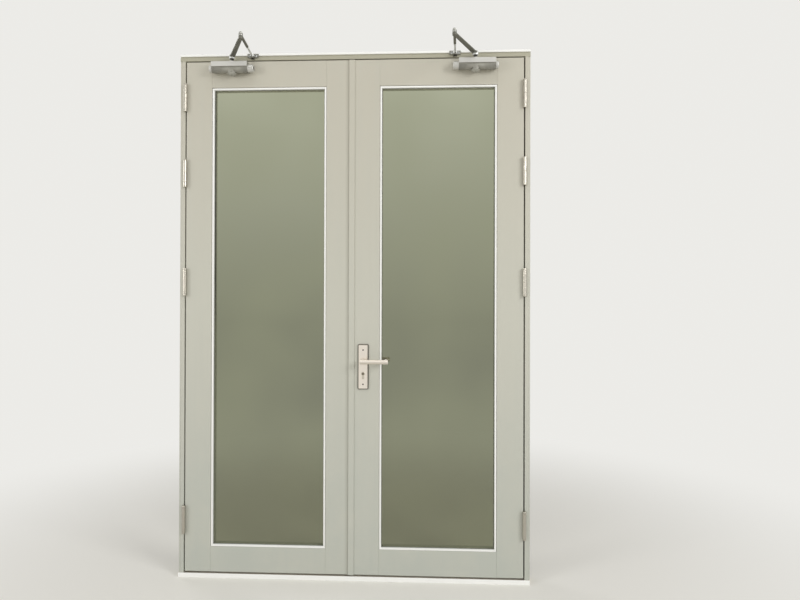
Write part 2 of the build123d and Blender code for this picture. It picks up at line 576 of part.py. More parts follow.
def make_closer(tag, side):
    def at(x, y):
        return side * (AXIS_X - x), y

    # an upright block in front of the round bore that the spindle crosses, and a foot on the leaf
    section = outline((-BLOCK_D, CLOSER_Z1 - BLOCK_H), (0, CLOSER_Z1 - BLOCK_H), (0, CLOSER_Z1),
                      (-BLOCK_D, CLOSER_Z1))
    section += Pos(SPINDLE_Y, TUBE_Z) * Circle(TUBE_R)
    section += outline((-FOOT_D, CLOSER_Z1 - FOOT_H), (0, CLOSER_Z1 - FOOT_H), (0, CLOSER_Z1),
                       (-FOOT_D, CLOSER_Z1))
    front = section.vertices().group_by(Axis.Y)[-1].sort_by(Axis.X)[0]
    near, far = side * (AXIS_X - CLOSER_X), side * (AXIS_X - CLOSER_X - CLOSER_L)
    shell = along_x(fillet(front, BLOCK_SOFT), *sorted((near, far)))
    sx, sy = at(SPINDLE_X, SPINDLE_Y)
    shell += rod_z(sx, sy, CLOSER_Z1, CLOSER_Z1 + 5, HUB_R - 2.5)
    shell += rod_z(sx, sy, CLOSER_Z0 - BOSS_T, TUBE_Z, BOSS_R)
    shell -= rod_z(sx, sy, CLOSER_Z0 - BOSS_T - 1, CLOSER_Z1 + 6, SPINDLE_R + SPINDLE_AIR)
    save(tag + "_closer", shell)
    low_cap = Pos(sx, sy, CLOSER_Z0 - BOSS_T - LOW_CAP_T / 2) * Cone(LOW_CAP_TIP, BOSS_R, LOW_CAP_T)
    caps = [low_cap]
    for end, length in ((near, side * CAP_NEAR), (far, -side * CAP_FAR)):
        cap = rod_x(end, end + length, SPINDLE_Y, TUBE_Z, CAP_R)
        rims = cap.edges().filter_by(GeomType.CIRCLE).sort_by(Axis.X)
        caps.append(chamfer(rims[-1] if length > 0 else rims[0], CAP_SOFT))
    save(tag + "_closer_caps", *caps)

    top = ARM_Z + ARM_T + 4
    spindle = rod_z(sx, sy, CLOSER_Z0 + 0.5, top, SPINDLE_R)
    save(tag + "_spindle", spindle + rod_z(sx, sy, top, top + 3, SPINDLE_R + 3))
    e = at(*elbow())
    b = at(SHOE_X, SHOE_Y)
    arm = arm_bar((sx, sy), e, ARM_W, ARM_TIP, ARM_Z, ARM_Z + ARM_T)
    arm += rod_z(sx, sy, ARM_Z - HUB_LOW, top, HUB_R)
    arm += rod_z(*e, ARM_Z - 4, ARM_Z + ARM_T, ELBOW_R)
    arm -= rod_z(sx, sy, ARM_Z - HUB_LOW - 1, top, SPINDLE_R)
    arm += rod_z(*e, ARM_Z + ARM_T, FORE_Z + SLEEVE_T + 2, ELBOW_PIN)
    arm += rod_z(*e, FORE_Z + SLEEVE_T + 1, FORE_Z + SLEEVE_T + 6, NUT_R)
    arm += rod_z(*e, FORE_Z + SLEEVE_T + 6, FORE_Z + SLEEVE_T + 10, STUD_R)
    save(tag + "_main_arm", arm)
    # forearm: a sleeve, then the adjusting rod with its eye over the shoe
    joint = (e[0] + SLEEVE * (b[0] - e[0]), e[1] + SLEEVE * (b[1] - e[1]))
    sleeve = arm_bar(e, joint, SLEEVE_W, SLEEVE_W, FORE_Z, FORE_Z + SLEEVE_T)
    sleeve += rod_z(*e, FORE_Z, FORE_Z + SLEEVE_T, ELBOW_R)
    sleeve -= rod_z(*e, FORE_Z - 1, FORE_Z + SLEEVE_T + 1, ELBOW_PIN + SPINDLE_AIR)
    save(tag + "_forearm", sleeve)
    rod_low = FORE_Z + (SLEEVE_T - ROD_W) / 2
    rod = arm_bar(joint, b, ROD_W, ROD_W, rod_low, rod_low + ROD_W)
    rod += rod_z(*b, FORE_Z, FORE_Z + SLEEVE_T, EYE_R)
    save(tag + "_adjust_rod", rod + rod_z(*b, FORE_Z + SLEEVE_T, FORE_Z + SLEEVE_T + 3, EYE_R - 3))


def make_shoe(side):
    x = side * (AXIS_X - SHOE_X)
    z = FORE_Z - 1 - SHOE_TAB
    low = HEAD_Z + SHOE_UP
    clear = HEAD_TOP - MASTIC_LAP - 0.5
    shoe = box(x - SHOE_L / 2, x + SHOE_L / 2, -SHOE_T, 0, low, clear)
    shoe += box(x - SHOE_L / 2, x + SHOE_L / 2, -SHOE_T, -MASTIC_T - 0.3, clear, low + SHOE_H)
    shoe += box(x - EYE_R - 1, x + EYE_R + 1, -SHOE_T, 0, z, low)
    shoe += box(x - EYE_R - 1, x + EYE_R + 1, SHOE_Y, 0, z, z + SHOE_TAB)
    return shoe + rod_z(x, SHOE_Y, z, z + SHOE_TAB, EYE_R + 1)


make_closer("a", 1)
make_closer("i", -1)
save("arm_shoes", make_shoe(-1), make_shoe(1))
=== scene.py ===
# %% [markdown]
# # A double-leaf glazed fire door
#
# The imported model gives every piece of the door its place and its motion. This script gives
# them their looks: folded sheet gets soft edges and powder coat, the fittings get brushed
# steel, screws and seams, and the glass is glazed in with white sealant.
#
# Blender works in metres here, with X to the right, Y through the doorway and Z up.

# %% Load the frame
import json
from math import atan2, radians, sin

import bmesh
import bpy
from mathutils import Euler, Matrix, Vector


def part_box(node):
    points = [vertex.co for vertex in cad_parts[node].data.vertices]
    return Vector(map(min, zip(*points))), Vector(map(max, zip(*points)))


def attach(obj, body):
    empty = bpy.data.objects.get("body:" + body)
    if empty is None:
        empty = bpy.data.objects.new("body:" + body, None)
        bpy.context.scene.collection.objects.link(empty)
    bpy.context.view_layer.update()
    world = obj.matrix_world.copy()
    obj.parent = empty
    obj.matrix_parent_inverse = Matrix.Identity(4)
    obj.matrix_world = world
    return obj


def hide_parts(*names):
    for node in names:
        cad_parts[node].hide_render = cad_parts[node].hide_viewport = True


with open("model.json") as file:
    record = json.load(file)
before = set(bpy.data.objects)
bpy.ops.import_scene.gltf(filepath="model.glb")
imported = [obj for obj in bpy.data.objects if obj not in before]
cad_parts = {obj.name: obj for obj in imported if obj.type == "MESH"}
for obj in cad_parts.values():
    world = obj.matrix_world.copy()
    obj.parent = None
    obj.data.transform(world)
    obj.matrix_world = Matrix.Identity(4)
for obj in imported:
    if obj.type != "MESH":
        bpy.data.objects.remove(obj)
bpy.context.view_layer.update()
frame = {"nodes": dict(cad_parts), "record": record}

MM = 0.001
scene = bpy.context.scene
node_slot = {part["node"]: part["material_slot"] for part in frame["record"]["subparts"]}

# %% [markdown]
# ## The camera
#
# A camera is easiest to match with a few long straight edges whose real places are known. The
# jambs, the head, the glass and the lever plate gave its place and its small turns. It stands
# 2.8 m in front of the door, a third of a metre to the right of its middle.

# %% Camera
FOCAL_PIXELS = 600.0
IMAGE_WIDTH = 800.0
SENSOR = 36.0
CAMERA_PLACE = (0.3444, -2.8230, 1.2898)
CAMERA_TURN = (90.274, -0.15, 2.555)    # degrees

lens = bpy.data.cameras.new("camera")
lens.sensor_width = SENSOR
lens.lens = FOCAL_PIXELS / IMAGE_WIDTH * SENSOR
camera = bpy.data.objects.new("camera", lens)
camera.location = CAMERA_PLACE
camera.rotation_euler = Euler([radians(angle) for angle in CAMERA_TURN])
scene.collection.objects.link(camera)
scene.camera = camera
scene.view_settings.view_transform = "Standard"
print("lens", lens.lens, "mm")

# %% [markdown]
# ## Helpers for materials
#
# Colours are picked as sRGB hex values, as in a paint chart, but a shader wants linear light,
# so one function turns them. Every finish here is made in the same few steps: some noise, its
# range stretched, colours mixed by it and a bump. Each step has a short function of its own.


# %% Colour and nodes
def linear(hex_colour):
    """sRGB hex to the linear colour that a shader socket takes."""
    channels = [int(hex_colour[i:i + 2], 16) / 255 for i in (1, 3, 5)]
    return (*[c / 12.92 if c <= 0.04045 else ((c + 0.055) / 1.055) ** 2.4 for c in channels], 1.0)


def node(tree, kind, inputs=None, **settings):
    """Add one node; a value in inputs is a number, a colour or another node's output."""
    new = tree.nodes.new(kind)
    for key, value in settings.items():
        setattr(new, key, value)
    for socket, value in (inputs or {}).items():
        if isinstance(value, bpy.types.NodeSocket):
            tree.links.new(value, new.inputs[socket])
        else:
            new.inputs[socket].default_value = value
    return new


def noise(tree, place, scale, detail=2.0, roughness=0.5):
    """Soft random values from 0 to 1, about scale of them to the metre."""
    return node(tree, "ShaderNodeTexNoise", {"Vector": place, "Scale": scale, "Detail": detail,
                                             "Roughness": roughness}).outputs["Fac"]


def ranged(tree, value, from_low, from_high, to_low=0.0, to_high=1.0, **settings):
    """A value's range from_low to from_high, stretched over to_low to to_high."""
    return node(tree, "ShaderNodeMapRange",
                {"Value": value, "From Min": from_low, "From Max": from_high,
                 "To Min": to_low, "To Max": to_high}, **settings).outputs["Result"]


def computed(tree, operation, one, other, **settings):
    """The result of a sum, product or comparison of two values."""
    return node(tree, "ShaderNodeMath", {0: one, 1: other}, operation=operation,
                **settings).outputs[0]


def mixed(tree, factor, one, other):
    """A colour between two others."""
    return node(tree, "ShaderNodeMix", {"Factor": factor, "A": one, "B": other},
                data_type="RGBA").outputs["Result"]


def bumped(tree, shader, height, strength, distance):
    """Shade the surface as if a height from 0 to 1 raised it by up to distance."""
    bump = node(tree, "ShaderNodeBump", {"Height": height, "Strength": strength,
                                         "Distance": distance})
    tree.links.new(bump.outputs["Normal"], shader.inputs["Normal"])


def finish(name, **numbers):
    """A new material with numbers set on its shader, and its tree, shader and object place."""
    made = bpy.data.materials.new(name)
    made.use_nodes = True
    tree = made.node_tree
    shader = tree.nodes["Principled BSDF"]
    for socket, value in numbers.items():
        shader.inputs[socket.replace("_", " ")].default_value = value
    return made, tree, shader, node(tree, "ShaderNodeTexCoord").outputs["Object"]


print("the grey #808080 is", round(linear("#808080")[0], 3), "in linear light")

# %% [markdown]
# ## Powder coat on steel
#
# Frame and leaves are folded sheet with a baked powder coat in a warm light grey. Powder melts
# into a satin film with a faint orange peel. The peel is 2 to 3 mm wide, finer than a pixel of
# the main view, so it is drawn at 6 mm. Dust greys the paint towards the floor and in faint
# upright runs. Shade is painted into the colour in three places: the paint is painted slightly
# darker and yellower higher up, a painted shadow lies on the left leaf beside the cover strip,
# and the head is painted darker and browner than the leaves.

# %% Powder coat
PAINT = "#C9C8BC"
# painted shade: darker and yellower higher up
PAINT_HIGH_SHADE = "#C4C0B2"
PAINT_DUSTY = "#BDC0B7"
# painted shadow on the left leaf beside the cover strip
PAINT_STRIP_SHADOW = "#8C897B"
# painted shade: the head darker and browner
PAINT_HEAD_SHADE = "#AFAC99"
PAINT_ROUGHNESS = (0.36, 0.5)
PEEL, PEEL_RISE, PEEL_STRENGTH = 6 * MM, 0.2 * MM, 0.12
HIGH_SHADE_FROM, HIGH_SHADE_TO = 1.3, 2.3
DUST_HEIGHT = 1.2
DUST_MOST = 1.7
DUST_CLOUDS = 5.0        # to the metre
RUNS = (28.0, 28.0, 1.6)     # to the metre: narrow across, long upright
RUNS_MOST = 0.16
STRIP_SHADOW_FROM, STRIP_SHADOW_TO = -40 * MM, -19 * MM
STRIP_SHADOW_MOST = 0.4
HEAD_SHADE_FROM, HEAD_SHADE_TO = 2.421, 2.427


def powder_coat():
    made, tree, shader, place = finish("powder_coat_with_painted_shade", IOR=1.5)
    axes = node(tree, "ShaderNodeSeparateXYZ", {"Vector": place}).outputs
    across, height = axes["X"], axes["Z"]

    cloud = noise(tree, place, DUST_CLOUDS, 5.0, 0.6)
    low = ranged(tree, height, DUST_HEIGHT, 0.0, to_high=DUST_MOST)
    stretched = node(tree, "ShaderNodeMapping", {"Vector": place, "Scale": RUNS}).outputs["Vector"]
    runs = ranged(tree, noise(tree, stretched, 1.0, 3.0), 0.5, 0.8, to_high=RUNS_MOST)
    dust = computed(tree, "ADD", computed(tree, "MULTIPLY", low, cloud), runs, use_clamp=True)
    # A painted shadow: the left leaf darkens towards the cover strip's edge.
    rise = ranged(tree, across, STRIP_SHADOW_FROM, STRIP_SHADOW_TO, to_high=STRIP_SHADOW_MOST,
                  interpolation_type="SMOOTHSTEP")
    beside = computed(tree, "LESS_THAN", across, STRIP_SHADOW_TO)

    # The first, third and fourth mixes paint shade into the colour; the second is dust.
    colour = linear(PAINT)
    for factor, tone in ((ranged(tree, height, HIGH_SHADE_FROM, HIGH_SHADE_TO), PAINT_HIGH_SHADE),
                         (dust, PAINT_DUSTY),
                         (computed(tree, "MULTIPLY", rise, beside), PAINT_STRIP_SHADOW),
                         (ranged(tree, height, HEAD_SHADE_FROM, HEAD_SHADE_TO), PAINT_HEAD_SHADE)):
        colour = mixed(tree, factor, colour, linear(tone))
    tree.links.new(colour, shader.inputs["Base Color"])
    tree.links.new(ranged(tree, cloud, 0.0, 1.0, *PAINT_ROUGHNESS), shader.inputs["Roughness"])
    bumped(tree, shader, noise(tree, place, 1 / PEEL, 1.0), PEEL_STRENGTH, PEEL_RISE)
    return made


paint = powder_coat()
print(paint.name, len(paint.node_tree.nodes), "nodes")

# %% [markdown]
# ## Metals
#
# Brushing leaves fine parallel scratches that spread highlights across the grain, so each
# brushed metal gets a noise that is stretched along one axis. Real scratches are 0.1 mm wide;
# they are drawn 0.8 mm wide to show. Feet have scuffed the sill, so it is rougher than the
# lever. Zinc plate has soft patches: it is bright and bluish on rod and screws, where its pale,
# half matt colour also paints the bright reflection of plated zinc, and dull where grease has
# reached it. Lacquered castings have a fine grit. A metal's own colour goes on the shader, and
# its IOR stays at the default.

# %% Metals
SCRATCH, SCRATCH_LENGTH = 0.8 * MM, 40 * MM
SCRATCH_DEPTH, SCRATCH_STRENGTH = 0.05 * MM, 0.15
SMEARS = 30.0            # to the metre


def brushed(name, colour, grain, low, high):
    """Brushed metal with its grain along the axis named by grain, and its roughness range."""
    made, tree, shader, place = finish(name, Metallic=1.0, Base_Color=linear(colour))
    scale = [1 / (SCRATCH_LENGTH if axis == grain else SCRATCH) for axis in "XYZ"]
    stretched = node(tree, "ShaderNodeMapping", {"Vector": place, "Scale": scale})
    lines = noise(tree, stretched.outputs["Vector"], 1.0)
    smeared = computed(tree, "MULTIPLY", lines, noise(tree, place, SMEARS, 3.0))
    tree.links.new(ranged(tree, smeared, 0.1, 0.4, low, high), shader.inputs["Roughness"])
    bumped(tree, shader, lines, SCRATCH_STRENGTH, SCRATCH_DEPTH)
    return made


def patchy(name, light, dark, patch, metallic, low, high, grit=0.0, grain=1.5 * MM):
    """Two close tones in soft patches, a roughness range and a bump of fine grains."""
    made, tree, shader, place = finish(name, Metallic=metallic)
    cloud = noise(tree, place, 1 / patch, 4.0)
    colour = mixed(tree, cloud, linear(light), linear(dark))
    tree.links.new(colour, shader.inputs["Base Color"])
    tree.links.new(ranged(tree, cloud, 0.0, 1.0, low, high), shader.inputs["Roughness"])
    bumped(tree, shader, noise(tree, place, 1 / grain), grit, 0.1 * MM)
    return made


steel_upright = brushed("satin_stainless_steel_upright", "#F0E8DD", "Z", 0.26, 0.4)
steel_lying = brushed("satin_stainless_steel_lying", "#E6DED3", "X", 0.3, 0.42)
# a darker copy of the steel: painted shade on the plate's rim
steel_rim_painted_shade = brushed("satin_stainless_steel_rim", "#8F897E", "Z", 0.45, 0.6)
steel_trodden = brushed("trodden_stainless_steel", "#D9D2C8", "X", 0.5, 0.62)
hinge_steel = brushed("satin_stainless_hinge_steel", "#BBB6AB", "Z", 0.24, 0.36)
zinc = patchy("zinc_plated_steel", "#E4E5E0", "#CBCCC7", 14 * MM, 1.0, 0.36, 0.5, 0.1)
# pale and half matt, it also paints the bright reflection of plated zinc
bright_zinc_and_sheen = patchy("blue_zinc_and_painted_reflection", "#F3F4F1", "#E1E3E1", 14 * MM, 0.45, 0.32, 0.44, 0.1)
dull_zinc = patchy("dull_zinc_plated_steel", "#ACACA6", "#94948E", 10 * MM, 1.0, 0.4, 0.52, 0.1)
nickel = patchy("nickel_plated_brass", "#DAD4C6", "#C6BFAF", 20 * MM, 1.0, 0.24, 0.36)
# painted shade: the plug darker than the cylinder body
plug_painted_shade = patchy("nickel_plug_painted_shade", "#958D7D", "#837B6C", 6 * MM, 1.0, 0.35, 0.5, 0.2)
silver_lacquer = patchy("silver_lacquered_cast_aluminium", "#D3D2CD", "#C4C3BE", 60 * MM, 0.55,
                        0.4, 0.5, 0.25)
silver_cap = patchy("silver_lacquered_zinc_cap", "#CFCEC8", "#BDBCB6", 30 * MM, 0.4, 0.3, 0.42, 0.2)
# painted shade: the low dome under the closer
low_cap_painted_shade = patchy("zinc_low_cap_painted_shade", "#B7B6AD", "#A3A299", 20 * MM, 0.45, 0.4, 0.5, 0.2)
shoe_cast = patchy("dark_silver_cast_zinc", "#8B8A82", "#787770", 20 * MM, 0.5, 0.38, 0.5, 0.3)
# painted shade: the bore under the closer's cover
bore_painted_shade = patchy("aluminium_bore_painted_shade", "#A3A197", "#8E8C83", 25 * MM, 0.4, 0.55, 0.68, 0.5)
arm_lacquer = patchy("dark_lacquered_steel", "#77766C", "#636258", 40 * MM, 0.4, 0.38, 0.52, 0.2)
# oiled steel, its dark tone partly painted shade in the gap under the hub
oiled_steel_and_shade = patchy("oiled_steel_and_painted_shade", "#55534E", "#403F3B", 12 * MM, 0.9, 0.3, 0.45, 0.1)
# Burnished steel whose near-black also paints the shade inside a screw's socket.
socket_black_and_shade = patchy("burnished_socket_and_painted_shade", "#34322F", "#262523", 5 * MM, 0.6, 0.5, 0.7)
print("metals ready")

# %% [markdown]
# ## Sealant, rubber, board and glass
#
# White sealant is smooth and slightly wavy, extruded rubber is matt black, and the fire board
# in the leaves is pale and fibrous where the lock pocket shows it. Fire glass is laminated from
# several sheets with a clear gel between them. The iron in so much glass and the gel turn what
# is seen through it a soft olive green, and a film of dust hazes it. Its colour also carries
# painted light by height: painted shade, deepest at half height, and a painted reflection that
# lightens it towards the top.

# %% Sealant, rubber, board and glass
GLASS_LOW_TINT = "#8D9078"
# painted shade, deepest at half height
GLASS_MIDDLE_PAINTED_SHADE = "#7E816C"
# painted reflection, lighter towards the top
GLASS_HIGH_PAINTED_REFLECTION = "#B4B8A0"
GLASS_CLOUD_TINT = "#979B7E"
LOW_TO_MIDDLE = (0.15, 0.85)
MIDDLE_TO_HIGH = (1.2, 2.3)
GLASS_CLOUDS, CLOUD_MOST = 1.6, 0.5      # clouds to the metre, and their most
GLASS_FILM, HAZE_MOST = 3.0, 0.06


def plain(name, light, dark, patch, low, high, wave, ripple=4 * MM):
    """A non-metal with two close tones and a soft ripple of the given width."""
    return patchy(name, light, dark, patch, 0.0, low, high, wave, ripple)


def fire_glass():
    made, tree, shader, place = finish("laminated_fire_glass", IOR=1.52, Transmission_Weight=1.0)
    height = node(tree, "ShaderNodeSeparateXYZ", {"Vector": place}).outputs["Z"]
    cloud = ranged(tree, noise(tree, place, GLASS_CLOUDS), 0.35, 0.7, to_high=CLOUD_MOST)
    colour = linear(GLASS_LOW_TINT)
    # The two height mixes paint light into the tint: shade at half height, a reflection higher up.
    for factor, tone in ((ranged(tree, height, *LOW_TO_MIDDLE), GLASS_MIDDLE_PAINTED_SHADE),
                         (ranged(tree, height, *MIDDLE_TO_HIGH), GLASS_HIGH_PAINTED_REFLECTION),
                         (cloud, GLASS_CLOUD_TINT)):
        colour = mixed(tree, factor, colour, linear(tone))
    tree.links.new(colour, shader.inputs["Base Color"])
    film = noise(tree, place, GLASS_FILM, 6.0, 0.7)
    haze = ranged(tree, film, 0.45, 0.8, to_high=HAZE_MOST)
    tree.links.new(haze, shader.inputs["Roughness"])
    return made


sealant = plain("white_sealant", "#FCFCFA", "#F7F7F3", 60 * MM, 0.3, 0.45, 0.2, 12 * MM)
# Its grey is partly real tape and partly a painted shadow of the bead on the glass.
tape_and_shadow = plain("grey_tape_and_painted_shadow", "#76786C", "#6A6C60", 30 * MM, 0.6, 0.7, 0.04)
rubber = plain("extruded_rubber", "#2E2F30", "#232425", 40 * MM, 0.55, 0.7, 0.2)
board = plain("fire_board", "#D2CBB9", "#C2BAA6", 8 * MM, 0.85, 0.95, 0.5)
# a dark sheet that paints the shadow line round the backplates
base_painted_shadow = plain("black_base_painted_shadow", "#3A3A38", "#30302E", 20 * MM, 0.5, 0.6, 0.2)
glass = fire_glass()

by_slot = {"paint": paint, "stainless": steel_upright, "zinc": zinc, "nickel": nickel,
           "mastic": sealant, "seal": rubber, "board": board, "fire_glass": glass,
           "closer_silver": silver_lacquer, "closer_cap": silver_cap, "arm": arm_lacquer}
for name, piece in frame["nodes"].items():
    piece.data.materials.clear()
    piece.data.materials.append(by_slot[node_slot[name]])
print("dressed", len(frame["nodes"]), "nodes in", len(by_slot), "finishes")

# A pane that also shaded and mirrored would turn the bars behind it black, so only the camera's
# rays and refracted ones meet the panes.
for name in ("a_glass", "i_glass"):
    pane = frame["nodes"][name]
    pane.visible_shadow = False
    pane.visible_diffuse = False
    pane.visible_glossy = False

# %% [markdown]
# ## Working in the door's own measures
#
# Fittings are easiest to place in millimetres from the front face of the leaves, which lies
# 45 mm in front of the frame's middle. One function turns such a place into Blender's metres.
# The right leaf, with the lever, has the tag a and the left one the tag i.

# %% Places that several pieces share
FACE = -45.0
LEAF_T = 50.0
LEAF_EDGE = 3.0          # meeting edges, from the middle of the door
SIDES = {"a": 1, "i": -1}
LEAF = {"a": "active_leaf", "i": "inactive_leaf"}
HINGE_X = 792.0
HINGE_Y = -10.0
HINGE_HEIGHTS = [271.6, 1384.3, 1895.7, 2252.3]
GLASS_IN, GLASS_OUT = 125.0, 667.0
GLASS_LOW, GLASS_HIGH = 146.0, 2299.0
LONG = 1000.0            # only the length of a leaf or frame member is longer
TOUCH = 0.1 * MM         # places nearer than this count as one


def at(x, y, z):
    """A place in mm, with y from the front face of the leaves, as a Vector in metres."""
    return Vector((x, y + FACE, z)) * MM


print("leaf face at", FACE, "mm; hinges at", HINGE_HEIGHTS)

# %% [markdown]
# ## Helpers for mesh work
#
# Nearly everything here is one of four things: a CAD piece whose edges want softening, an eased
# block, a turned shape, or a flat bar between two points. Each gets one helper made of bmesh
# operators. Turned shapes are circles bridged one to the next, which also makes screws, because
# a circle may be bridged to the six corners of a socket.


# %% Copies of CAD pieces and how their edges are eased
SHARP = radians(35)      # only edges that turn more than this get rounded


def cad_copy(name):
    """A bmesh of a CAD node, its loose triangles joined and its flat faces made whole."""
    bm = bmesh.new()
    bm.from_mesh(frame["nodes"][name].data)
    bmesh.ops.remove_doubles(bm, verts=bm.verts, dist=0.01 * MM)
    bmesh.ops.dissolve_limit(bm, angle_limit=radians(1), verts=bm.verts, edges=bm.edges)
    return bm


def round_off(bm, edges, width, segments):
    """Bevel these edges to a round of the given width in mm."""
    return bmesh.ops.bevel(bm, geom=edges, offset=width * MM, offset_type="OFFSET",
                           segments=segments, profile=0.5, affect="EDGES", material=-1)


def ease(bm, width, choose, segments=2):
    """Round the sharp outward edges that choose() picks."""
    round_off(bm, [edge for edge in bm.edges if edge.is_manifold and edge.is_convex
                   and edge.calc_face_angle() > SHARP and choose(edge)], width, segments)


def longer_than(length):
    """Choose the edges that are longer than this, in mm."""
    return lambda edge: edge.calc_length() > length * MM


def on_outline(name):
    """Choose the long edges where two sides of a node's box meet."""
    low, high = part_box(name)

    def choose(edge):
        middle = (edge.verts[0].co + edge.verts[1].co) / 2
        near = [min(middle[k] - low[k], high[k] - middle[k]) < TOUCH for k in range(3)]
        return sum(near) >= 2 and edge.calc_length() > 15 * MM
    return choose


def at_ends(name, axis):
    """Choose the edges that lie in the first or the last plane of a node's box along an axis."""
    low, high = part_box(name)
    return lambda edge: all(min(vert.co[axis] - low[axis], high[axis] - vert.co[axis]) < TOUCH / 2
                            for vert in edge.verts)


def hand_over(bm, name, finishes, body, slot, *replaced, fresh=True):
    """Turn a bmesh into a piece that rides on a body and stands for the replaced nodes.

    Fresh pieces, made here and not copied from the CAD, get their seams closed first.
    """
    if fresh:
        bmesh.ops.remove_doubles(bm, verts=bm.verts, dist=0.002 * MM)
        bmesh.ops.recalc_face_normals(bm, faces=bm.faces)
    for face in bm.faces:
        face.smooth = True
    mesh = bpy.data.meshes.new(name)
    bm.to_mesh(mesh)
    bm.free()
    mesh.set_sharp_from_angle(angle=radians(50))
    for made in finishes if isinstance(finishes, tuple) else (finishes,):
        mesh.materials.append(made)
    piece = bpy.data.objects.new(name, mesh)
    scene.collection.objects.link(piece)
    even = piece.modifiers.new("even_shading", "WEIGHTED_NORMAL")
    even.keep_sharp = True
    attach(piece, body)
    if replaced:
        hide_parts(*replaced)
    print(name, len(mesh.polygons), "faces, on", body)


print("copies, easing and handing over ready")


# %% Blocks, turned shapes and bars
def edges_of(verts):
    """All edges at these vertices, each once, in an order that is the same in every run."""
    return list(dict.fromkeys(edge for vert in verts for edge in vert.link_edges))


def block(bm, low, high, soft=0.0, segments=2, corner=0.0):
    """A block between two corners, with eased edges, or with round corners seen along Y."""
    low, high = at(*low), at(*high)
    place = Matrix.Translation((low + high) / 2) @ Matrix.Diagonal((*(high - low), 1.0))
    edges = edges_of(bmesh.ops.create_cube(bm, size=1.0, matrix=place)["verts"])
    if corner:
        deep = [edge for edge in edges
                if abs(edge.verts[0].co.y - edge.verts[1].co.y) > TOUCH]
        round_off(bm, deep, corner, 6)
    else:
        round_off(bm, edges, soft, segments)


def turned(bm, place, axis, rings, sides=32, second=None):
    """Rings of (radius, height, own number of sides) along an axis, bridged and closed.

    From the ring with the number second on, the faces get the piece's second finish.
    """
    turn = Vector(axis).to_track_quat("Z", "Y").to_matrix().to_4x4()
    hoops = []
    for radius, height, *own in rings:
        where = Matrix.Translation(at(*place)) @ turn @ Matrix.Translation((0, 0, height * MM))
        circle = bmesh.ops.create_circle(bm, segments=own[0] if own else sides,
                                         radius=radius * MM, matrix=where)
        hoops.append(edges_of(circle["verts"]))
    for number, (one, other) in enumerate(zip(hoops, hoops[1:])):
        wall = bmesh.ops.bridge_loops(bm, edges=one + other)["faces"]
        for face in wall:
            face.material_index = int(second is not None and number >= second)
    bmesh.ops.edgeloop_fill(bm, edges=hoops[0], mat_nr=0)
    bmesh.ops.edgeloop_fill(bm, edges=hoops[-1], mat_nr=0 if second is None else 1)


def bar(bm, start, end, width, end_width, z0, z1, soft, segments=2, pressed=0.0):
    """A flat bar between two (x, y) places, tapering, and if pressed with a sunk panel."""
    run = Vector(end) - Vector(start)
    cube = bmesh.ops.create_cube(bm, size=1.0, matrix=Matrix.Translation((0.5, 0, 0.5)))
    for vert in cube["verts"]:
        vert.co.y *= (end_width if vert.co.x > 0.5 else width) * MM
        vert.co.x *= run.length * MM
        vert.co.z *= (z1 - z0) * MM
    verts = set(cube["verts"])
    edges = edges_of(cube["verts"])
    if pressed:
        faces = dict.fromkeys(face for vert in cube["verts"] for face in vert.link_faces)
        flats = [face for face in faces if abs(face.normal.z) > 0.9]
        for face in flats:
            inner = bmesh.ops.inset_region(bm, faces=[face], thickness=4 * MM, depth=-pressed * MM)
            for side in inner["faces"]:
                verts.update(side.verts)
    rounded = round_off(bm, edges, soft, segments)
    verts = {vert for vert in verts if vert.is_valid} | set(rounded["verts"])
    place = Matrix.Translation(at(*start, z0)) @ Matrix.Rotation(atan2(run.y, run.x), 4, "Z")
    bmesh.ops.transform(bm, matrix=place, verts=list(verts))


def picture_frame(bm, x0, x1, z0, z1, width, y0, y1):
    """A flat ring round a rectangle, cut out by an inset and extruded from y0 back to y1."""
    middle = at((x0 + x1) / 2, y0, (z0 + z1) / 2)
    size = Matrix.Diagonal(((x1 - x0) * MM, (z1 - z0) * MM, 1.0, 1.0))
    place = Matrix.Translation(middle) @ Matrix.Rotation(radians(90), 4, "X") @ size
    grid = bmesh.ops.create_grid(bm, x_segments=1, y_segments=1, size=0.5, matrix=place)
    whole = grid["verts"][0].link_faces[0]
    ring = bmesh.ops.inset_region(bm, faces=[whole], thickness=width * MM, use_boundary=True,
                                  use_even_offset=True)
    bmesh.ops.delete(bm, geom=[whole], context="FACES_ONLY")
    deep = bmesh.ops.extrude_face_region(bm, geom=ring["faces"])
    moved = [part for part in deep["geom"] if isinstance(part, bmesh.types.BMVert)]
    bmesh.ops.translate(bm, verts=moved, vec=(0, (y1 - y0) * MM, 0))
    bmesh.ops.recalc_face_normals(bm, faces=bm.faces)


def screw(bm, place, axis, radius, rise, sides=20):
    """A raised head whose six-sided socket takes the second finish."""
    # The socket's dark finish is partly burnished steel and partly painted shade in its hollow.
    socket = 0.45 * radius
    rings = [(radius, -0.4), (radius, 0.5 * rise), (0.93 * radius, 0.8 * rise),
             (0.78 * radius, rise), (1.25 * socket, rise), (socket, 0.85 * rise, 6),
             (0.92 * socket, 0.2 * rise, 6)]
    turned(bm, place, axis, rings, sides, second=4)


print("blocks, turned shapes, bars, frames and screws ready")

# %% [markdown]
# ## Folded frame and leaves
#
# A press brake can't fold steel to a knife edge: each fold has an outer radius about as large as
# the sheet is thick. That radius catches a thin line of light beside every gap, and it is what
# tells folded sheet from a drawn box. So the CAD shapes are kept and their long outer edges are
# rounded. Where a rail meets a stile the two small roundings leave a shallow V, the faint seam
# that runs up from each corner of the glass.

# %% Frame, stiles and rails
FOLD = 1.6
SEAM = 0.9

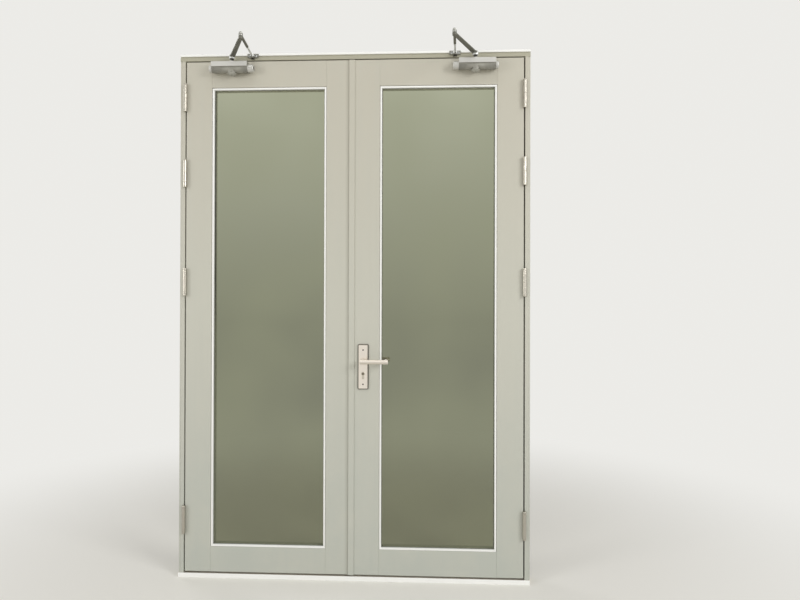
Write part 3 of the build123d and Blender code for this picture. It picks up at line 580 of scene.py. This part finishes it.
for name in ("jamb_left", "jamb_right", "head"):
    bm = cad_copy(name)
    ease(bm, FOLD, longer_than(LONG), segments=3)
    hand_over(bm, name + "_folded", paint, "frame", "paint", name, fresh=False)
for tag, body in LEAF.items():
    for part, width in (("hinge_stile", FOLD), ("meeting_stile", FOLD), ("top_rail", SEAM),
                        ("bottom_rail", SEAM)):
        name = tag + "_" + part
        bm = cad_copy(name)
        ease(bm, width, on_outline(name), segments=3)
        hand_over(bm, name + "_folded", paint, body, "paint", name, fresh=False)

# %% [markdown]
# ## Cover strip
#
# A flat strip is fixed along the edge of the right leaf and covers the gap between the leaves.
# Its edges are broken, because its shadow on the left leaf is the line that the eye follows down
# the middle of the door. On the right its edge is drawn 3 mm further in than in the CAD, since
# a little less of the strip shows there on the real door.

# %% Cover strip
# The powder coat also carries a painted shadow on the left leaf beside this strip.
STRIP_RIGHT = 10.0       # its right edge lies past this
STRIP_TRIM = 3.0
STRIP_EASE = 1.2

bm = cad_copy("cover_strip")
right_edge = [vert for vert in bm.verts if vert.co.x > STRIP_RIGHT * MM]
bmesh.ops.translate(bm, verts=right_edge, vec=(-STRIP_TRIM * MM, 0, 0))
ease(bm, STRIP_EASE, longer_than(LONG), segments=3)
hand_over(bm, "cover_strip_eased", paint, "active_leaf", "paint", "cover_strip", fresh=False)

# %% [markdown]
# ## Glazing
#
# In front the glass is bedded in white sealant, pulled flat with a tool, so the bead is a low
# round ridge, with a hair of shadow between it and the steel. A thin grey tape shows between it
# and the glass; its grey also stands as a painted shadow of the bead on the glass. The bead is
# one ring: a rectangle, an inset, the middle taken out, extruded and rounded. Behind, four steel
# bars with countersunk screws hold the pane. No part of them shows beside the bead from the
# front, so their inner sides are moved out, from 20 mm wide to 10 mm.

# %% Sealant bead, tape and glazing bars
GROOVE = 1.5             # shadow line beside the bead, at the sides and the top
LOW_GROOVE = 0.3         # the same at the bottom
BEAD = 8.0
BEAD_FRONT, PANE_FRONT = 0.6, 12.0
BEAD_ROUND = 2.0
TAPE = 3.0
TAPE_T = 1.0
TAPE_LAP = 1.0           # tape under the bead
BAR = 10.0
WHOLE_BAR = 20.0
BAR_EASE = 1.2
BAR_SCREW = (3.2, 1.2)   # radius and rise of a head
SIDE_SPACES = 8          # between the screws of an upright bar
FIRST_SCREW = 60.0       # in a lying bar, from its end

for tag, side in SIDES.items():
    left, right = sorted((side * GLASS_IN, side * GLASS_OUT))
    x0, x1, z0, z1 = left + GROOVE, right - GROOVE, GLASS_LOW + LOW_GROOVE, GLASS_HIGH - GROOVE
    bm = bmesh.new()
    picture_frame(bm, x0, x1, z0, z1, BEAD, BEAD_FRONT, PANE_FRONT)
    shallow = at(0, BEAD_ROUND, 0).y
    ease(bm, BEAD_ROUND, lambda edge: all(vert.co.y < shallow for vert in edge.verts), segments=3)
    hand_over(bm, tag + "_sealant_bead", sealant, LEAF[tag], "mastic", tag + "_front_bead")

    bm = bmesh.new()
    inset = BEAD - TAPE_LAP
    picture_frame(bm, x0 + inset, x1 - inset, z0 + inset, z1 - inset, TAPE + TAPE_LAP,
                  PANE_FRONT - TAPE_T, PANE_FRONT)
    # The tape is real tape that also carries a painted shadow of the bead.
    hand_over(bm, tag + "_glazing_tape", tape_and_shadow, LEAF[tag], "seal")

    bm = cad_copy(tag + "_rear_bars")
    spare = (WHOLE_BAR - BAR) * MM
    for axis, edge, way in ((0, left + WHOLE_BAR, -1), (0, right - WHOLE_BAR, 1),
                            (2, GLASS_LOW + WHOLE_BAR, -1), (2, GLASS_HIGH - WHOLE_BAR, 1)):
        on_edge = [vert for vert in bm.verts if abs(vert.co[axis] - edge * MM) < TOUCH]
        bmesh.ops.translate(bm, verts=on_edge, vec=[way * spare * (k == axis) for k in range(3)])
    ease(bm, BAR_EASE, longer_than(15))
    hand_over(bm, tag + "_glazing_bars", paint, LEAF[tag], "paint", tag + "_rear_bars",
              fresh=False)

    bm = bmesh.new()
    inset = BAR / 2
    step = (GLASS_HIGH - GLASS_LOW) / SIDE_SPACES
    places = [(x, GLASS_LOW + k * step) for k in range(1, SIDE_SPACES)
              for x in (left + inset, right - inset)]
    places += [(x, z) for x in (left + FIRST_SCREW, (left + right) / 2, right - FIRST_SCREW)
               for z in (GLASS_LOW + inset, GLASS_HIGH - inset)]
    for x, z in places:
        screw(bm, (x, LEAF_T, z), (0, 1, 0), *BAR_SCREW)
    hand_over(bm, tag + "_glazing_screws", (zinc, socket_black_and_shade), LEAF[tag], "zinc")

# %% [markdown]
# ## Seal, sill and sealant
#
# The rebate seal is extruded rubber with a round back, the sill a flat bar of stainless steel
# with a fine edge, and white sealant closes the joint over the head and the one in front of the
# sill. Sealant is laid by hand, so its face wanders a little; its length is cut up, and each cut
# moved by a few tenths of a millimetre.

# %% Seal, sill and the two outer sealant lines
SEAL_ROUND = 2.0
SILL_EASE = 1.0
LINE_ROUND = 1.3
CUT_FROM, CUT_TO, CUT_STEP = -800, 800, 20
LINE_END = 0.81          # the ends, from here on, stay where they are
LINE_FRONT = 2.5         # depth of the part that wanders
LINE_BACK, WANDER = 0.3, 0.12
STAND = 1.2              # the lowest part stays on the floor

bm = cad_copy("rebate_seal")
ease(bm, SEAL_ROUND, longer_than(LONG), segments=3)
hand_over(bm, "rebate_seal_round", rubber, "frame", "seal", "rebate_seal", fresh=False)

bm = cad_copy("sill")
ease(bm, SILL_EASE, longer_than(LONG))
hand_over(bm, "sill_bar", steel_trodden, "frame", "stainless", "sill", fresh=False)

for name in ("head_mastic", "sill_mastic"):
    bm = cad_copy(name)
    ease(bm, LINE_ROUND, longer_than(LONG), segments=3)
    for x in range(CUT_FROM, CUT_TO + 1, CUT_STEP):
        bmesh.ops.bisect_plane(bm, geom=bm.verts[:] + bm.edges[:] + bm.faces[:],
                               plane_co=(x * MM, 0, 0), plane_no=(1, 0, 0))
    front = min(vert.co.y for vert in bm.verts) + LINE_FRONT * MM
    for vert in bm.verts:
        if vert.co.y < front and abs(vert.co.x) < LINE_END and vert.co.z > STAND * MM:
            wave = sin(vert.co.x * 11) + sin(vert.co.x * 23 + 1.3)
            vert.co.y += (LINE_BACK + WANDER * wave) * MM
    hand_over(bm, name + "_line", sealant, "frame", "mastic", name, fresh=False)

# %% [markdown]
# ## Hinges
#
# Each leaf hangs on four lift-off hinges of stainless steel. The barrel is turned: it has a
# rounded end, a fine groove that marks the pressed-in end cap, and a seam in the middle where
# the upper barrel runs on the lower one. The flaps lie in the gap and are screwed to leaf and
# jamb with four screws each. A barrel is a stack of rings, so its groove and its rounded end
# cost only a few more rings.

# %% Hinges
BARREL = 8.5
HALF = 66.0
SEAM_HALF = 0.3          # half the gap between the barrels
FLAP_T = 2.5
FLAP_BACK = 30.0
NECK_FRONT = -4.5
FLAP_SCREWS = ((-48, 12), (-18, 18), (18, 18), (48, 12))    # height from the middle, depth
JAMB_WALL, LEAF_WALL = 795.0, 789.0


def barrel(bm, side, middle, way):
    """Half a barrel: from the seam in the middle to its rounded end, up or down."""
    rings = [(BARREL - 0.5, SEAM_HALF), (BARREL, 0.9), (BARREL, 57.6), (BARREL - 0.7, 58.0),
             (BARREL - 0.7, 58.9), (BARREL, 59.3), (BARREL, 63.6), (BARREL - 0.8, 65.2),
             (BARREL - 2.2, HALF)]
    turned(bm, (side * HINGE_X, HINGE_Y, middle), (0, 0, way), rings)


def flap(bm, side, middle, way, wall):
    """The flap in the gap and its neck out to the barrel; wall is the face that it lies on."""
    inward = -side if wall > HINGE_X else side
    near, far = side * wall, side * wall + inward * FLAP_T
    block(bm, (near, 0.2, middle - HALF), (far, FLAP_BACK, middle + HALF), 0.5)
    ends = sorted((middle + way * SEAM_HALF, middle + way * HALF))
    block(bm, (near, NECK_FRONT, ends[0]), (far, 1.0, ends[1]), 0.4)
    for rise, depth in FLAP_SCREWS:
        screw(bm, (far, depth, middle + rise), (inward, 0, 0), 3.4, 0.42, 16)


def hinge_halves(name, sides, way, wall, body, replaced):
    """The lower or upper halves of the hinges on these sides, as one piece."""
    bm = bmesh.new()
    for side in sides:
        for middle in HINGE_HEIGHTS:
            barrel(bm, side, middle, way)
            flap(bm, side, middle, way, wall)
    hand_over(bm, name, (hinge_steel, socket_black_and_shade), body, "stainless", replaced)


hinge_halves("frame_hinge_halves", SIDES.values(), -1, JAMB_WALL, "frame", "frame_hinges")
for tag, side in SIDES.items():
    hinge_halves(tag + "_hinge_halves", [side], 1, LEAF_WALL, LEAF[tag], tag + "_hinges")

# %% [markdown]
# ## Closer bodies
#
# A closer is a cast aluminium bore with a spring and a piston in it. An upright cover hides the
# upper half, so the body shows a light front with a sharp lower edge and below it the round bore,
# which is painted darker than the cover as the shade under it. Screwed caps with small valve
# screws close the bore at both ends, and a low dome, painted darker as shade too, closes it under
# the spindle. On top a silver boss with a black seal stands round the spindle.

# %% Closer bodies and their caps
SPINDLE_X = 564.0
SPINDLE_Y = -28.0
BORE_Z = 2377.0
NEAR_END, FAR_END = 656.0, 488.0
NEAR_CAP, FAR_CAP = 14.0, 27.0
BODY_LOW, BODY_HIGH = 2356.5, 2406.0
COVER_LOW = 2382.6
BODY_EASE = 0.7
FAR_VALVES, NEAR_VALVE = ((-37.5, 2381.5), (-20.5, 2371.5)), (-38.0, 2380.0)
VALVE = (3.0, 1.4, 14)   # radius, rise and sides of a head

# Profiles as (radius, distance along the axis, own number of sides)
CAP_FOOT = [(17.5, 0), (17.5, 1.0), (16.9, 1.3), (16.9, 2.0), (17.5, 2.3)]
NEAR_PROFILE = CAP_FOOT + [(17.5, 9.8), (16.8, 11.6), (14.8, 13.2), (12.6, NEAR_CAP),
                           (7, NEAR_CAP), (6.6, 13.4), (6.6, 12.6)]
FAR_PROFILE = CAP_FOOT + [(17.5, 20.5), (16.9, 23.4), (15.2, 25.8), (12.8, FAR_CAP),
                          (7, FAR_CAP), (6.6, 26.4), (6.6, 25.4)]
DOME = [(18.8, -0.4), (18.8, 1.2), (21, 1.4), (21, 2.6), (20, 3.4), (16, 6.4), (12.4, 9.2),
        (10, 10), (5, 10), (4.4, 9.2, 6), (4.4, 7.6, 6)]
BOSS = [(14.4, -0.4), (14.4, 4.2), (13.6, 5)]
SHAFT_SEAL = [(9.8, 5), (9.8, 7.4), (9, 8), (7.1, 8)]

for tag, side in SIDES.items():
    name = tag + "_closer"
    bm = cad_copy(name)
    ease(bm, BODY_EASE, longer_than(30))
    # Faces below the cover's edge take the darker bore finish, painted shade under the cover.
    for part in bm.faces:
        part.material_index = int(part.calc_center_median().z < COVER_LOW * MM)
    hand_over(bm, name + "_body", (silver_lacquer, bore_painted_shade), LEAF[tag], "closer_silver", name,
              fresh=False)

    bm = bmesh.new()
    near, far = side * NEAR_END, side * FAR_END
    turned(bm, (near, SPINDLE_Y, BORE_Z), (side, 0, 0), NEAR_PROFILE, 40)
    turned(bm, (far, SPINDLE_Y, BORE_Z), (-side, 0, 0), FAR_PROFILE, 40)
    for valve in FAR_VALVES:
        screw(bm, (far - side * (FAR_CAP - 0.8), *valve), (-side, 0, 0), *VALVE)
    screw(bm, (near + side * (NEAR_CAP - 0.6), *NEAR_VALVE), (side, 0, 0), *VALVE)
    hand_over(bm, name + "_end_caps", (silver_cap, socket_black_and_shade), LEAF[tag], "closer_cap",
              tag + "_closer_caps")

    bm = bmesh.new()
    # The low dome is painted darker, as shade on the closer's underside.
    turned(bm, (side * SPINDLE_X, SPINDLE_Y, BODY_LOW), (0, 0, -1), DOME, 40)
    hand_over(bm, name + "_low_cap", low_cap_painted_shade, LEAF[tag], "closer_cap")

    bm = bmesh.new()
    turned(bm, (side * SPINDLE_X, SPINDLE_Y, BODY_HIGH), (0, 0, 1), BOSS + SHAFT_SEAL, 40,
           second=len(BOSS))
    hand_over(bm, name + "_shaft_seal", (silver_lacquer, rubber), LEAF[tag], "seal")

# %% [markdown]
# ## Closer arms
#
# The main arm is a flat forging with a sunk panel, lacquered dark, on a bright zinc hub. At the
# elbow a pin with a hexagon nut carries the forearm: a dark sleeve into which a bright threaded
# rod is screwed, with a lock nut, so that the fitter can set its length. The nut and the eye at
# the elbow have gone dull. Real thread has a pitch of 1.25 mm; it is cut here at 2.5 mm so that
# it shows.

# %% Closer arms
ARM_LOW, ARM_HIGH = 2429.0, 2436.0
ARM_WIDE, ARM_NARROW = 23.0, 18.0
ARM_EASE, ARM_SUNK = 1.4, 1.4
FOREARM_LOW, FOREARM_HIGH = 2437.0, 2446.0
SLEEVE_WIDE, SLEEVE_EASE = 12.0, 3.4
SLEEVE_SHARE = 0.56      # of the forearm's length
ELBOW = (459.2021, -231.6134)
SHOE = (472.0, -20.0)
PITCH = 2.5
CREST, ROOT = 4.6, 4.1
ROD_SHORT = 5.0          # thread ends this far from the eye's middle
SPINDLE_LOW = 2359.0
WHERE_ARM = {"a": ("active_arm", "active_forearm"), "i": ("inactive_arm", "inactive_forearm")}

HUB_DISC = [(11, 6), (12.3, 6.4), (12.3, 10.2), (11.6, 11), (9, 11)]
ELBOW_DISC = [(8.5, -4), (9.5, -3), (9.5, 6.1), (8.6, 7)]
HUB_RING = [(10, -6), (12.6, -6), (13.4, -5.2), (13.4, 6.4), (12.6, 7.2), (10, 7.2)]
ELBOW_NUT = [(3.9, -9.5), (3.9, 0.4), (9, 0.4), (9, 1.2), (8.6, 1.2, 6), (8.6, 5.6, 6),
             (7.6, 6.2, 6), (6.2, 6.3), (6.2, 9), (5, 10)]
SPINDLE = [(6.4, 0), (7, 0.6), (7, 61), (8.6, 61), (9, 61.5), (9, 65.2), (7, 65.2), (7, 81),
           (10, 81), (10, 81.8), (9.2, 82, 6), (9.2, 83.4, 6), (8.4, 84, 6), (4, 84, 6),
           (4, 82.6, 6)]
ELBOW_EYE = [(8.7, 0), (9.4, 0.8), (9.4, 8.2), (8.7, 9)]
LOCK_NUT = [(6.2, 0.2, 6), (6.8, 1, 6), (6.8, 5.2, 6), (6.2, 6, 6)]
SHOE_EYE = [(8.2, 0), (9, 0.8), (9, 8.2), (8.2, 9), (6, 9), (6, 11.2), (5.2, 12), (2.6, 12, 6),
            (2.6, 10.6, 6)]

for tag, side in SIDES.items():
    arm_body, forearm_body = WHERE_ARM[tag]
    hub = (side * SPINDLE_X, SPINDLE_Y)
    elbow = (side * ELBOW[0], ELBOW[1])
    shoe = (side * SHOE[0], SHOE[1])

    bm = bmesh.new()
    bar(bm, hub, elbow, ARM_WIDE, ARM_NARROW, ARM_LOW, ARM_HIGH, ARM_EASE, pressed=ARM_SUNK)
    turned(bm, (*hub, ARM_LOW), (0, 0, 1), HUB_DISC)
    turned(bm, (*elbow, ARM_LOW), (0, 0, 1), ELBOW_DISC)
    hand_over(bm, tag + "_arm_forging", arm_lacquer, arm_body, "arm", tag + "_main_arm")

    bm = bmesh.new()
    turned(bm, (*hub, ARM_LOW), (0, 0, 1), HUB_RING)
    turned(bm, (*elbow, FOREARM_HIGH), (0, 0, 1), ELBOW_NUT, second=0)
    hand_over(bm, tag + "_arm_hub_and_nut", (bright_zinc_and_sheen, dull_zinc), arm_body, "zinc")

    bm = bmesh.new()
    # The pinion is oiled steel, and its dark tone is partly painted shade between hub and closer.
    turned(bm, (*hub, SPINDLE_LOW), (0, 0, 1), SPINDLE)
    hand_over(bm, tag + "_pinion", oiled_steel_and_shade, arm_body, "zinc", tag + "_spindle")

    start, end = Vector(elbow), Vector(shoe)
    run = end - start
    along = (*run.normalized(), 0)
    mouth = start + run * SLEEVE_SHARE
    bm = bmesh.new()
    bar(bm, elbow, mouth, SLEEVE_WIDE, SLEEVE_WIDE, FOREARM_LOW, FOREARM_HIGH, SLEEVE_EASE,
        segments=4)
    hand_over(bm, tag + "_forearm_sleeve", arm_lacquer, forearm_body, "arm", tag + "_forearm")

    bm = bmesh.new()
    turns = int(((end - mouth).length - ROD_SHORT) / PITCH)
    thread = [(CREST if k % 2 else ROOT, k * PITCH / 2) for k in range(2 * turns)]
    level = (FOREARM_LOW + FOREARM_HIGH) / 2
    turned(bm, (*mouth, level), along, thread, 20)
    turned(bm, (*elbow, FOREARM_LOW), (0, 0, 1), ELBOW_EYE, second=0)
    turned(bm, (*mouth, level), along, LOCK_NUT)
    turned(bm, (*shoe, FOREARM_LOW), (0, 0, 1), SHOE_EYE)
    hand_over(bm, tag + "_threaded_rod", (bright_zinc_and_sheen, dull_zinc), forearm_body, "zinc",
              tag + "_adjust_rod")

# %% [markdown]
# ## Arm shoes
#
# The forearm ends in a small bracket on the head: a plate that stands over the sealant, with two
# round-headed screws, and below it a lug that the rod's eye sits on. It is a darker silver than
# the closer's caps, and the screws are bright.

# %% Arm shoes
SHOE_LOW, SHOE_CLEAR, SHOE_HIGH = 2438.0, 2446.5, 2455.0
SHOE_HALF, SHOE_FRONT, SHOE_BACK = 26.0, -6.0, -3.3
FOOT_HALF, WEB_HALF = 25.0, 9.6
LUG_LOW, LUG_HIGH, LUG_HALF = 2430.0, 2436.0, 9.8
LUG = [(9.2, 0), (10, 0.8), (10, 5.2), (9.2, 6)]
SHOE_SCREW_X, SHOE_SCREW_Z = 14.0, 2443.8
SHOE_SCREW = (5.8, 3.0, 24)    # radius, rise and sides of a head

plates, screws = bmesh.new(), bmesh.new()
for side in SIDES.values():
    x, y = side * SHOE[0], SHOE[1]
    # The plate, its foot on the head under the sealant, the web down to the lug, and the lug
    block(plates, (x - SHOE_HALF, SHOE_FRONT, SHOE_LOW), (x + SHOE_HALF, SHOE_BACK, SHOE_HIGH),
          0.9, 3)
    block(plates, (x - FOOT_HALF, -4, SHOE_LOW + 0.6), (x + FOOT_HALF, 0, SHOE_CLEAR), 0.3)
    block(plates, (x - WEB_HALF, -5.8, LUG_LOW), (x + WEB_HALF, -0.2, SHOE_LOW + 3), 0.8)
    block(plates, (x - LUG_HALF, y, LUG_LOW), (x + LUG_HALF, -2, LUG_HIGH), 0.8)
    turned(plates, (x, y, LUG_LOW), (0, 0, 1), LUG)
    for shift in (-SHOE_SCREW_X, SHOE_SCREW_X):
        screw(screws, (x + shift, SHOE_FRONT, SHOE_SCREW_Z), (0, -1, 0), *SHOE_SCREW)
hand_over(plates, "arm_shoe_brackets", shoe_cast, "frame", "closer_cap", "arm_shoes")
hand_over(screws, "arm_shoe_screws", (bright_zinc_and_sheen, socket_black_and_shade), "frame", "zinc")

# %% [markdown]
# ## Lever set
#
# Backplate and lever are satin stainless steel. The plate is a shell pressed over a dark base,
# so it has a turned-down rim; the rim is painted darker as shade, and the thin line of the base
# that shows round it is a painted shadow line. The lever is a straight round bar with a neck
# into the plate and a short leg back towards the leaf, its cut ends chamfered. A small grub
# screw under the neck holds it on the spindle.

# %% Backplates, levers and their screws
LEVER_X, LEVER_Z = 50.0, 1020.0
PLATE_LOW, PLATE_HIGH = LEVER_Z - 131, LEVER_Z + 77
PLATE_HALF = 24.0
PLATE_T = 8.0
RIM = 6.2                # only edges nearer to the plate's outline than this are rounded
RIM_ROUND = 3.8
RIM_DEEP = 7.6           # faces turned away from the front, down to here, are the rim
RIM_TURNED = 0.985
BASE_SIDE, BASE_END, BASE_T = 1.6, 1.2, 1.6
BASE_CORNER = 7.4
CUT_ROUND = 1.1
GRUB_OUT, GRUB_DROP = 34.0, 9.1
GRUB = [(2.4, -0.6), (2.4, 0.5), (2.0, 0.8), (1.2, 0.8, 6), (1.2, 0.2, 6)]
SCREW_HEIGHTS = (1071.0, 912.0)
SCREW_FRONT = -8.5
THROUGH_SCREW = [(1.7, 2.2, 6), (1.8, 0.1, 6), (2.6, 0), (3.5, 0.5), (2.48, 0.6), (2.48, 66.4),
                 (3.5, 66.5), (2.6, 67), (1.8, 66.9, 6), (1.7, 64.8, 6)]


def near_rim(front):
    """Choose the outer edges of the plate's face, and none round its holes."""
    def choose(edge):
        return all(abs(vert.co.y - front) < TOUCH
                   and (abs(vert.co.x - LEVER_X * MM) > (PLATE_HALF - RIM) * MM
                        or not (PLATE_LOW + RIM) * MM < vert.co.z < (PLATE_HIGH - RIM) * MM)
                   for vert in edge.verts)
    return choose


for name, face, out in (("outer", 0.0, -1), ("inner", LEAF_T, 1)):
    front = at(0, face + out * PLATE_T, 0).y
    bm = cad_copy(name + "_plate")
    ease(bm, RIM_ROUND, near_rim(front), segments=4)
    # The rim's faces take the darker rim finish: painted shade.
    for part in bm.faces:
        part.material_index = int(abs(part.normal.y) < RIM_TURNED
                                  and abs(part.calc_center_median().y - front) < RIM_DEEP * MM)
    hand_over(bm, name + "_backplate", (steel_upright, steel_rim_painted_shade), "active_leaf", "stainless",
              name + "_plate", fresh=False)

    # A dark base under the plate, showing round it as a painted shadow line.
    bm = bmesh.new()
    half = PLATE_HALF + BASE_SIDE
    block(bm, (LEVER_X - half, face, PLATE_LOW - BASE_END),
          (LEVER_X + half, face + out * BASE_T, PLATE_HIGH + BASE_END), corner=BASE_CORNER)
    hand_over(bm, name + "_plate_base_painted_shadow", base_painted_shadow, "active_leaf", "seal")

    bm = cad_copy(name + "_lever")
    ease(bm, CUT_ROUND, at_ends(name + "_lever", 0), segments=3)
    hand_over(bm, name + "_lever_bar", steel_lying, "handle", "stainless", name + "_lever",
              fresh=False)

    bm = bmesh.new()
    turned(bm, (LEVER_X, face + out * GRUB_OUT, LEVER_Z - GRUB_DROP), (0, 0, -1), GRUB, 20,
           second=3)
    hand_over(bm, name + "_grub_screw", (zinc, socket_black_and_shade), "handle", "zinc")

bm = bmesh.new()
for z in SCREW_HEIGHTS:
    turned(bm, (LEVER_X, SCREW_FRONT, z), (0, 1, 0), THROUGH_SCREW, 20)
# These screws take the dark socket finish all over: burnished steel and painted shade.
hand_over(bm, "backplate_screws", socket_black_and_shade, "active_leaf", "zinc", "plate_screws")

# %% [markdown]
# ## Lock cylinder
#
# The cylinder stands a few millimetres out of the plate, with the key's slot in its round plug.
# Its own CAD shapes have the slot and the thumb turn, so they are copied and their rims broken,
# which gives each its thin bright line.

# %% Lock cylinder
# The plug is painted darker than the body, as shade in the cylinder's opening.
for name, body, made, width in (("cylinder_body", "active_leaf", nickel, 0.5),
                                ("cylinder_plug", "cylinder", plug_painted_shade, 0.3)):
    bm = cad_copy(name)
    ends = at_ends(name, 1)
    ease(bm, width, lambda edge: ends(edge) and edge.calc_length() < 30 * MM)
    hand_over(bm, name + "_eased", made, body, "nickel", name, fresh=False)

# %% [markdown]
# ## Lock and bolt edges
#
# With a leaf open, its edge shows zinc plated plates let in flush: the lock's forend, the strike
# in the other leaf and the two slotted plates of the flush bolts. They get countersunk screws,
# and the bolts themselves get the small roundings that a plated bolt has.

# %% Screws in the leaf edges, and the bolts
FOREND_SCREWS = (887, 1098)
STRIKE_SCREWS = (941, 1000, 1066)
BOLT_PLATE_SCREWS = (58, 238, 2211, 2391)
BOLT_EASE = 0.5

for name, body, x, way, heights, radius in (
        ("forend_screws", "active_leaf", LEAF_EDGE, -1, FOREND_SCREWS, 3.4),
        ("edge_plate_screws", "inactive_leaf", -LEAF_EDGE, 1, STRIKE_SCREWS + BOLT_PLATE_SCREWS,
         3.0)):
    bm = bmesh.new()
    for z in heights:
        screw(bm, (x, LEAF_T / 2, z), (way, 0, 0), radius, 0.6)
    hand_over(bm, name, (zinc, socket_black_and_shade), body, "zinc")

for name, body, made, slot in (("latch_bolt", "latch", nickel, "nickel"),
                               ("dead_bolt", "dead_lock", nickel, "nickel"),
                               ("top_bolt", "top_flush_bolt", zinc, "zinc"),
                               ("bottom_bolt", "bottom_flush_bolt", zinc, "zinc")):
    bm = cad_copy(name)
    ease(bm, BOLT_EASE, longer_than(4))
    hand_over(bm, name + "_eased", made, body, slot, name, fresh=False)

# %% [markdown]
# ## The studio
#
# A pale floor under even, soft light. Near the door the floor is seen as it is lit, so it keeps
# the door's shadow. Further off it fades to the tone of the world behind it, so no line shows
# where they meet. The world is seen at that tone by the camera, by gloss and through glass, and
# lights the door a little more gently. The lamps stand where the shut panes don't mirror them
# towards the camera.

# %% Floor, world and lamps
FLOOR = "#F0EEE8"
FLOOR_RADIUS = 60.0
BACKDROP = 0.84
BACKDROP_COLOUR = "#FFFEFA"
WORLD_LIGHT = 0.44
FADE_FROM, FADE_TO = 0.9, 3.3


def seen_directly(tree):
    """1 for rays from the camera, from gloss and through glass, else 0."""
    ray = node(tree, "ShaderNodeLightPath").outputs
    either = computed(tree, "MAXIMUM", ray["Is Camera Ray"], ray["Is Glossy Ray"])
    return computed(tree, "MAXIMUM", either, ray["Is Transmission Ray"])


def pale_floor():
    made, tree, shader, place = finish("pale_floor", Base_Color=linear(FLOOR), Roughness=0.9)
    away = node(tree, "ShaderNodeVectorMath", {0: place}, operation="LENGTH").outputs["Value"]
    fade = ranged(tree, away, FADE_FROM, FADE_TO, interpolation_type="SMOOTHSTEP")
    amount = computed(tree, "MULTIPLY", fade, seen_directly(tree))
    glow = node(tree, "ShaderNodeEmission", {"Color": linear(BACKDROP_COLOUR),
                                             "Strength": BACKDROP})
    blend = node(tree, "ShaderNodeMixShader", {0: amount, 1: shader.outputs["BSDF"],
                                               2: glow.outputs["Emission"]})
    tree.links.new(blend.outputs["Shader"], tree.nodes["Material Output"].inputs["Surface"])
    return made


def lamp(name, place, target, width, height, watts):
    """A rectangular area lamp that faces its target."""
    light = bpy.data.lights.new(name, "AREA")
    light.shape = "RECTANGLE"
    light.size = width
    light.size_y = height
    light.energy = watts
    holder = bpy.data.objects.new(name, light)
    holder.location = place
    holder.rotation_euler = (Vector(target) - Vector(place)).to_track_quat("-Z", "Y").to_euler()
    scene.collection.objects.link(holder)


bm = bmesh.new()
bmesh.ops.create_circle(bm, cap_ends=True, segments=96, radius=FLOOR_RADIUS)
floor_mesh = bpy.data.meshes.new("floor")
bm.to_mesh(floor_mesh)
bm.free()
floor_mesh.materials.append(pale_floor())
floor = bpy.data.objects.new("floor", floor_mesh)
scene.collection.objects.link(floor)

world = bpy.data.worlds.new("studio")
scene.world = world
world.use_nodes = True
sky = world.node_tree
background = sky.nodes["Background"]
background.inputs["Color"].default_value = linear(BACKDROP_COLOUR)
sky.links.new(ranged(sky, seen_directly(sky), 0.0, 1.0, WORLD_LIGHT, BACKDROP),
              background.inputs["Strength"])

lamp("key", (4.9, -4.0, 3.3), (0, 0, 1.0), 2.4, 2.6, 154)
lamp("fill", (-5.2, -4.0, 2.4), (0, 0, 1.0), 2.2, 2.6, 98)
lamp("top", (0.0, -2.2, 5.6), (0, 0, 1.2), 4.0, 1.6, 32)
lamp("back", (-5.6, 4.6, 4.6), (0, 0, 1.2), 2.6, 2.6, 60)
print("four lamps, floor and world")
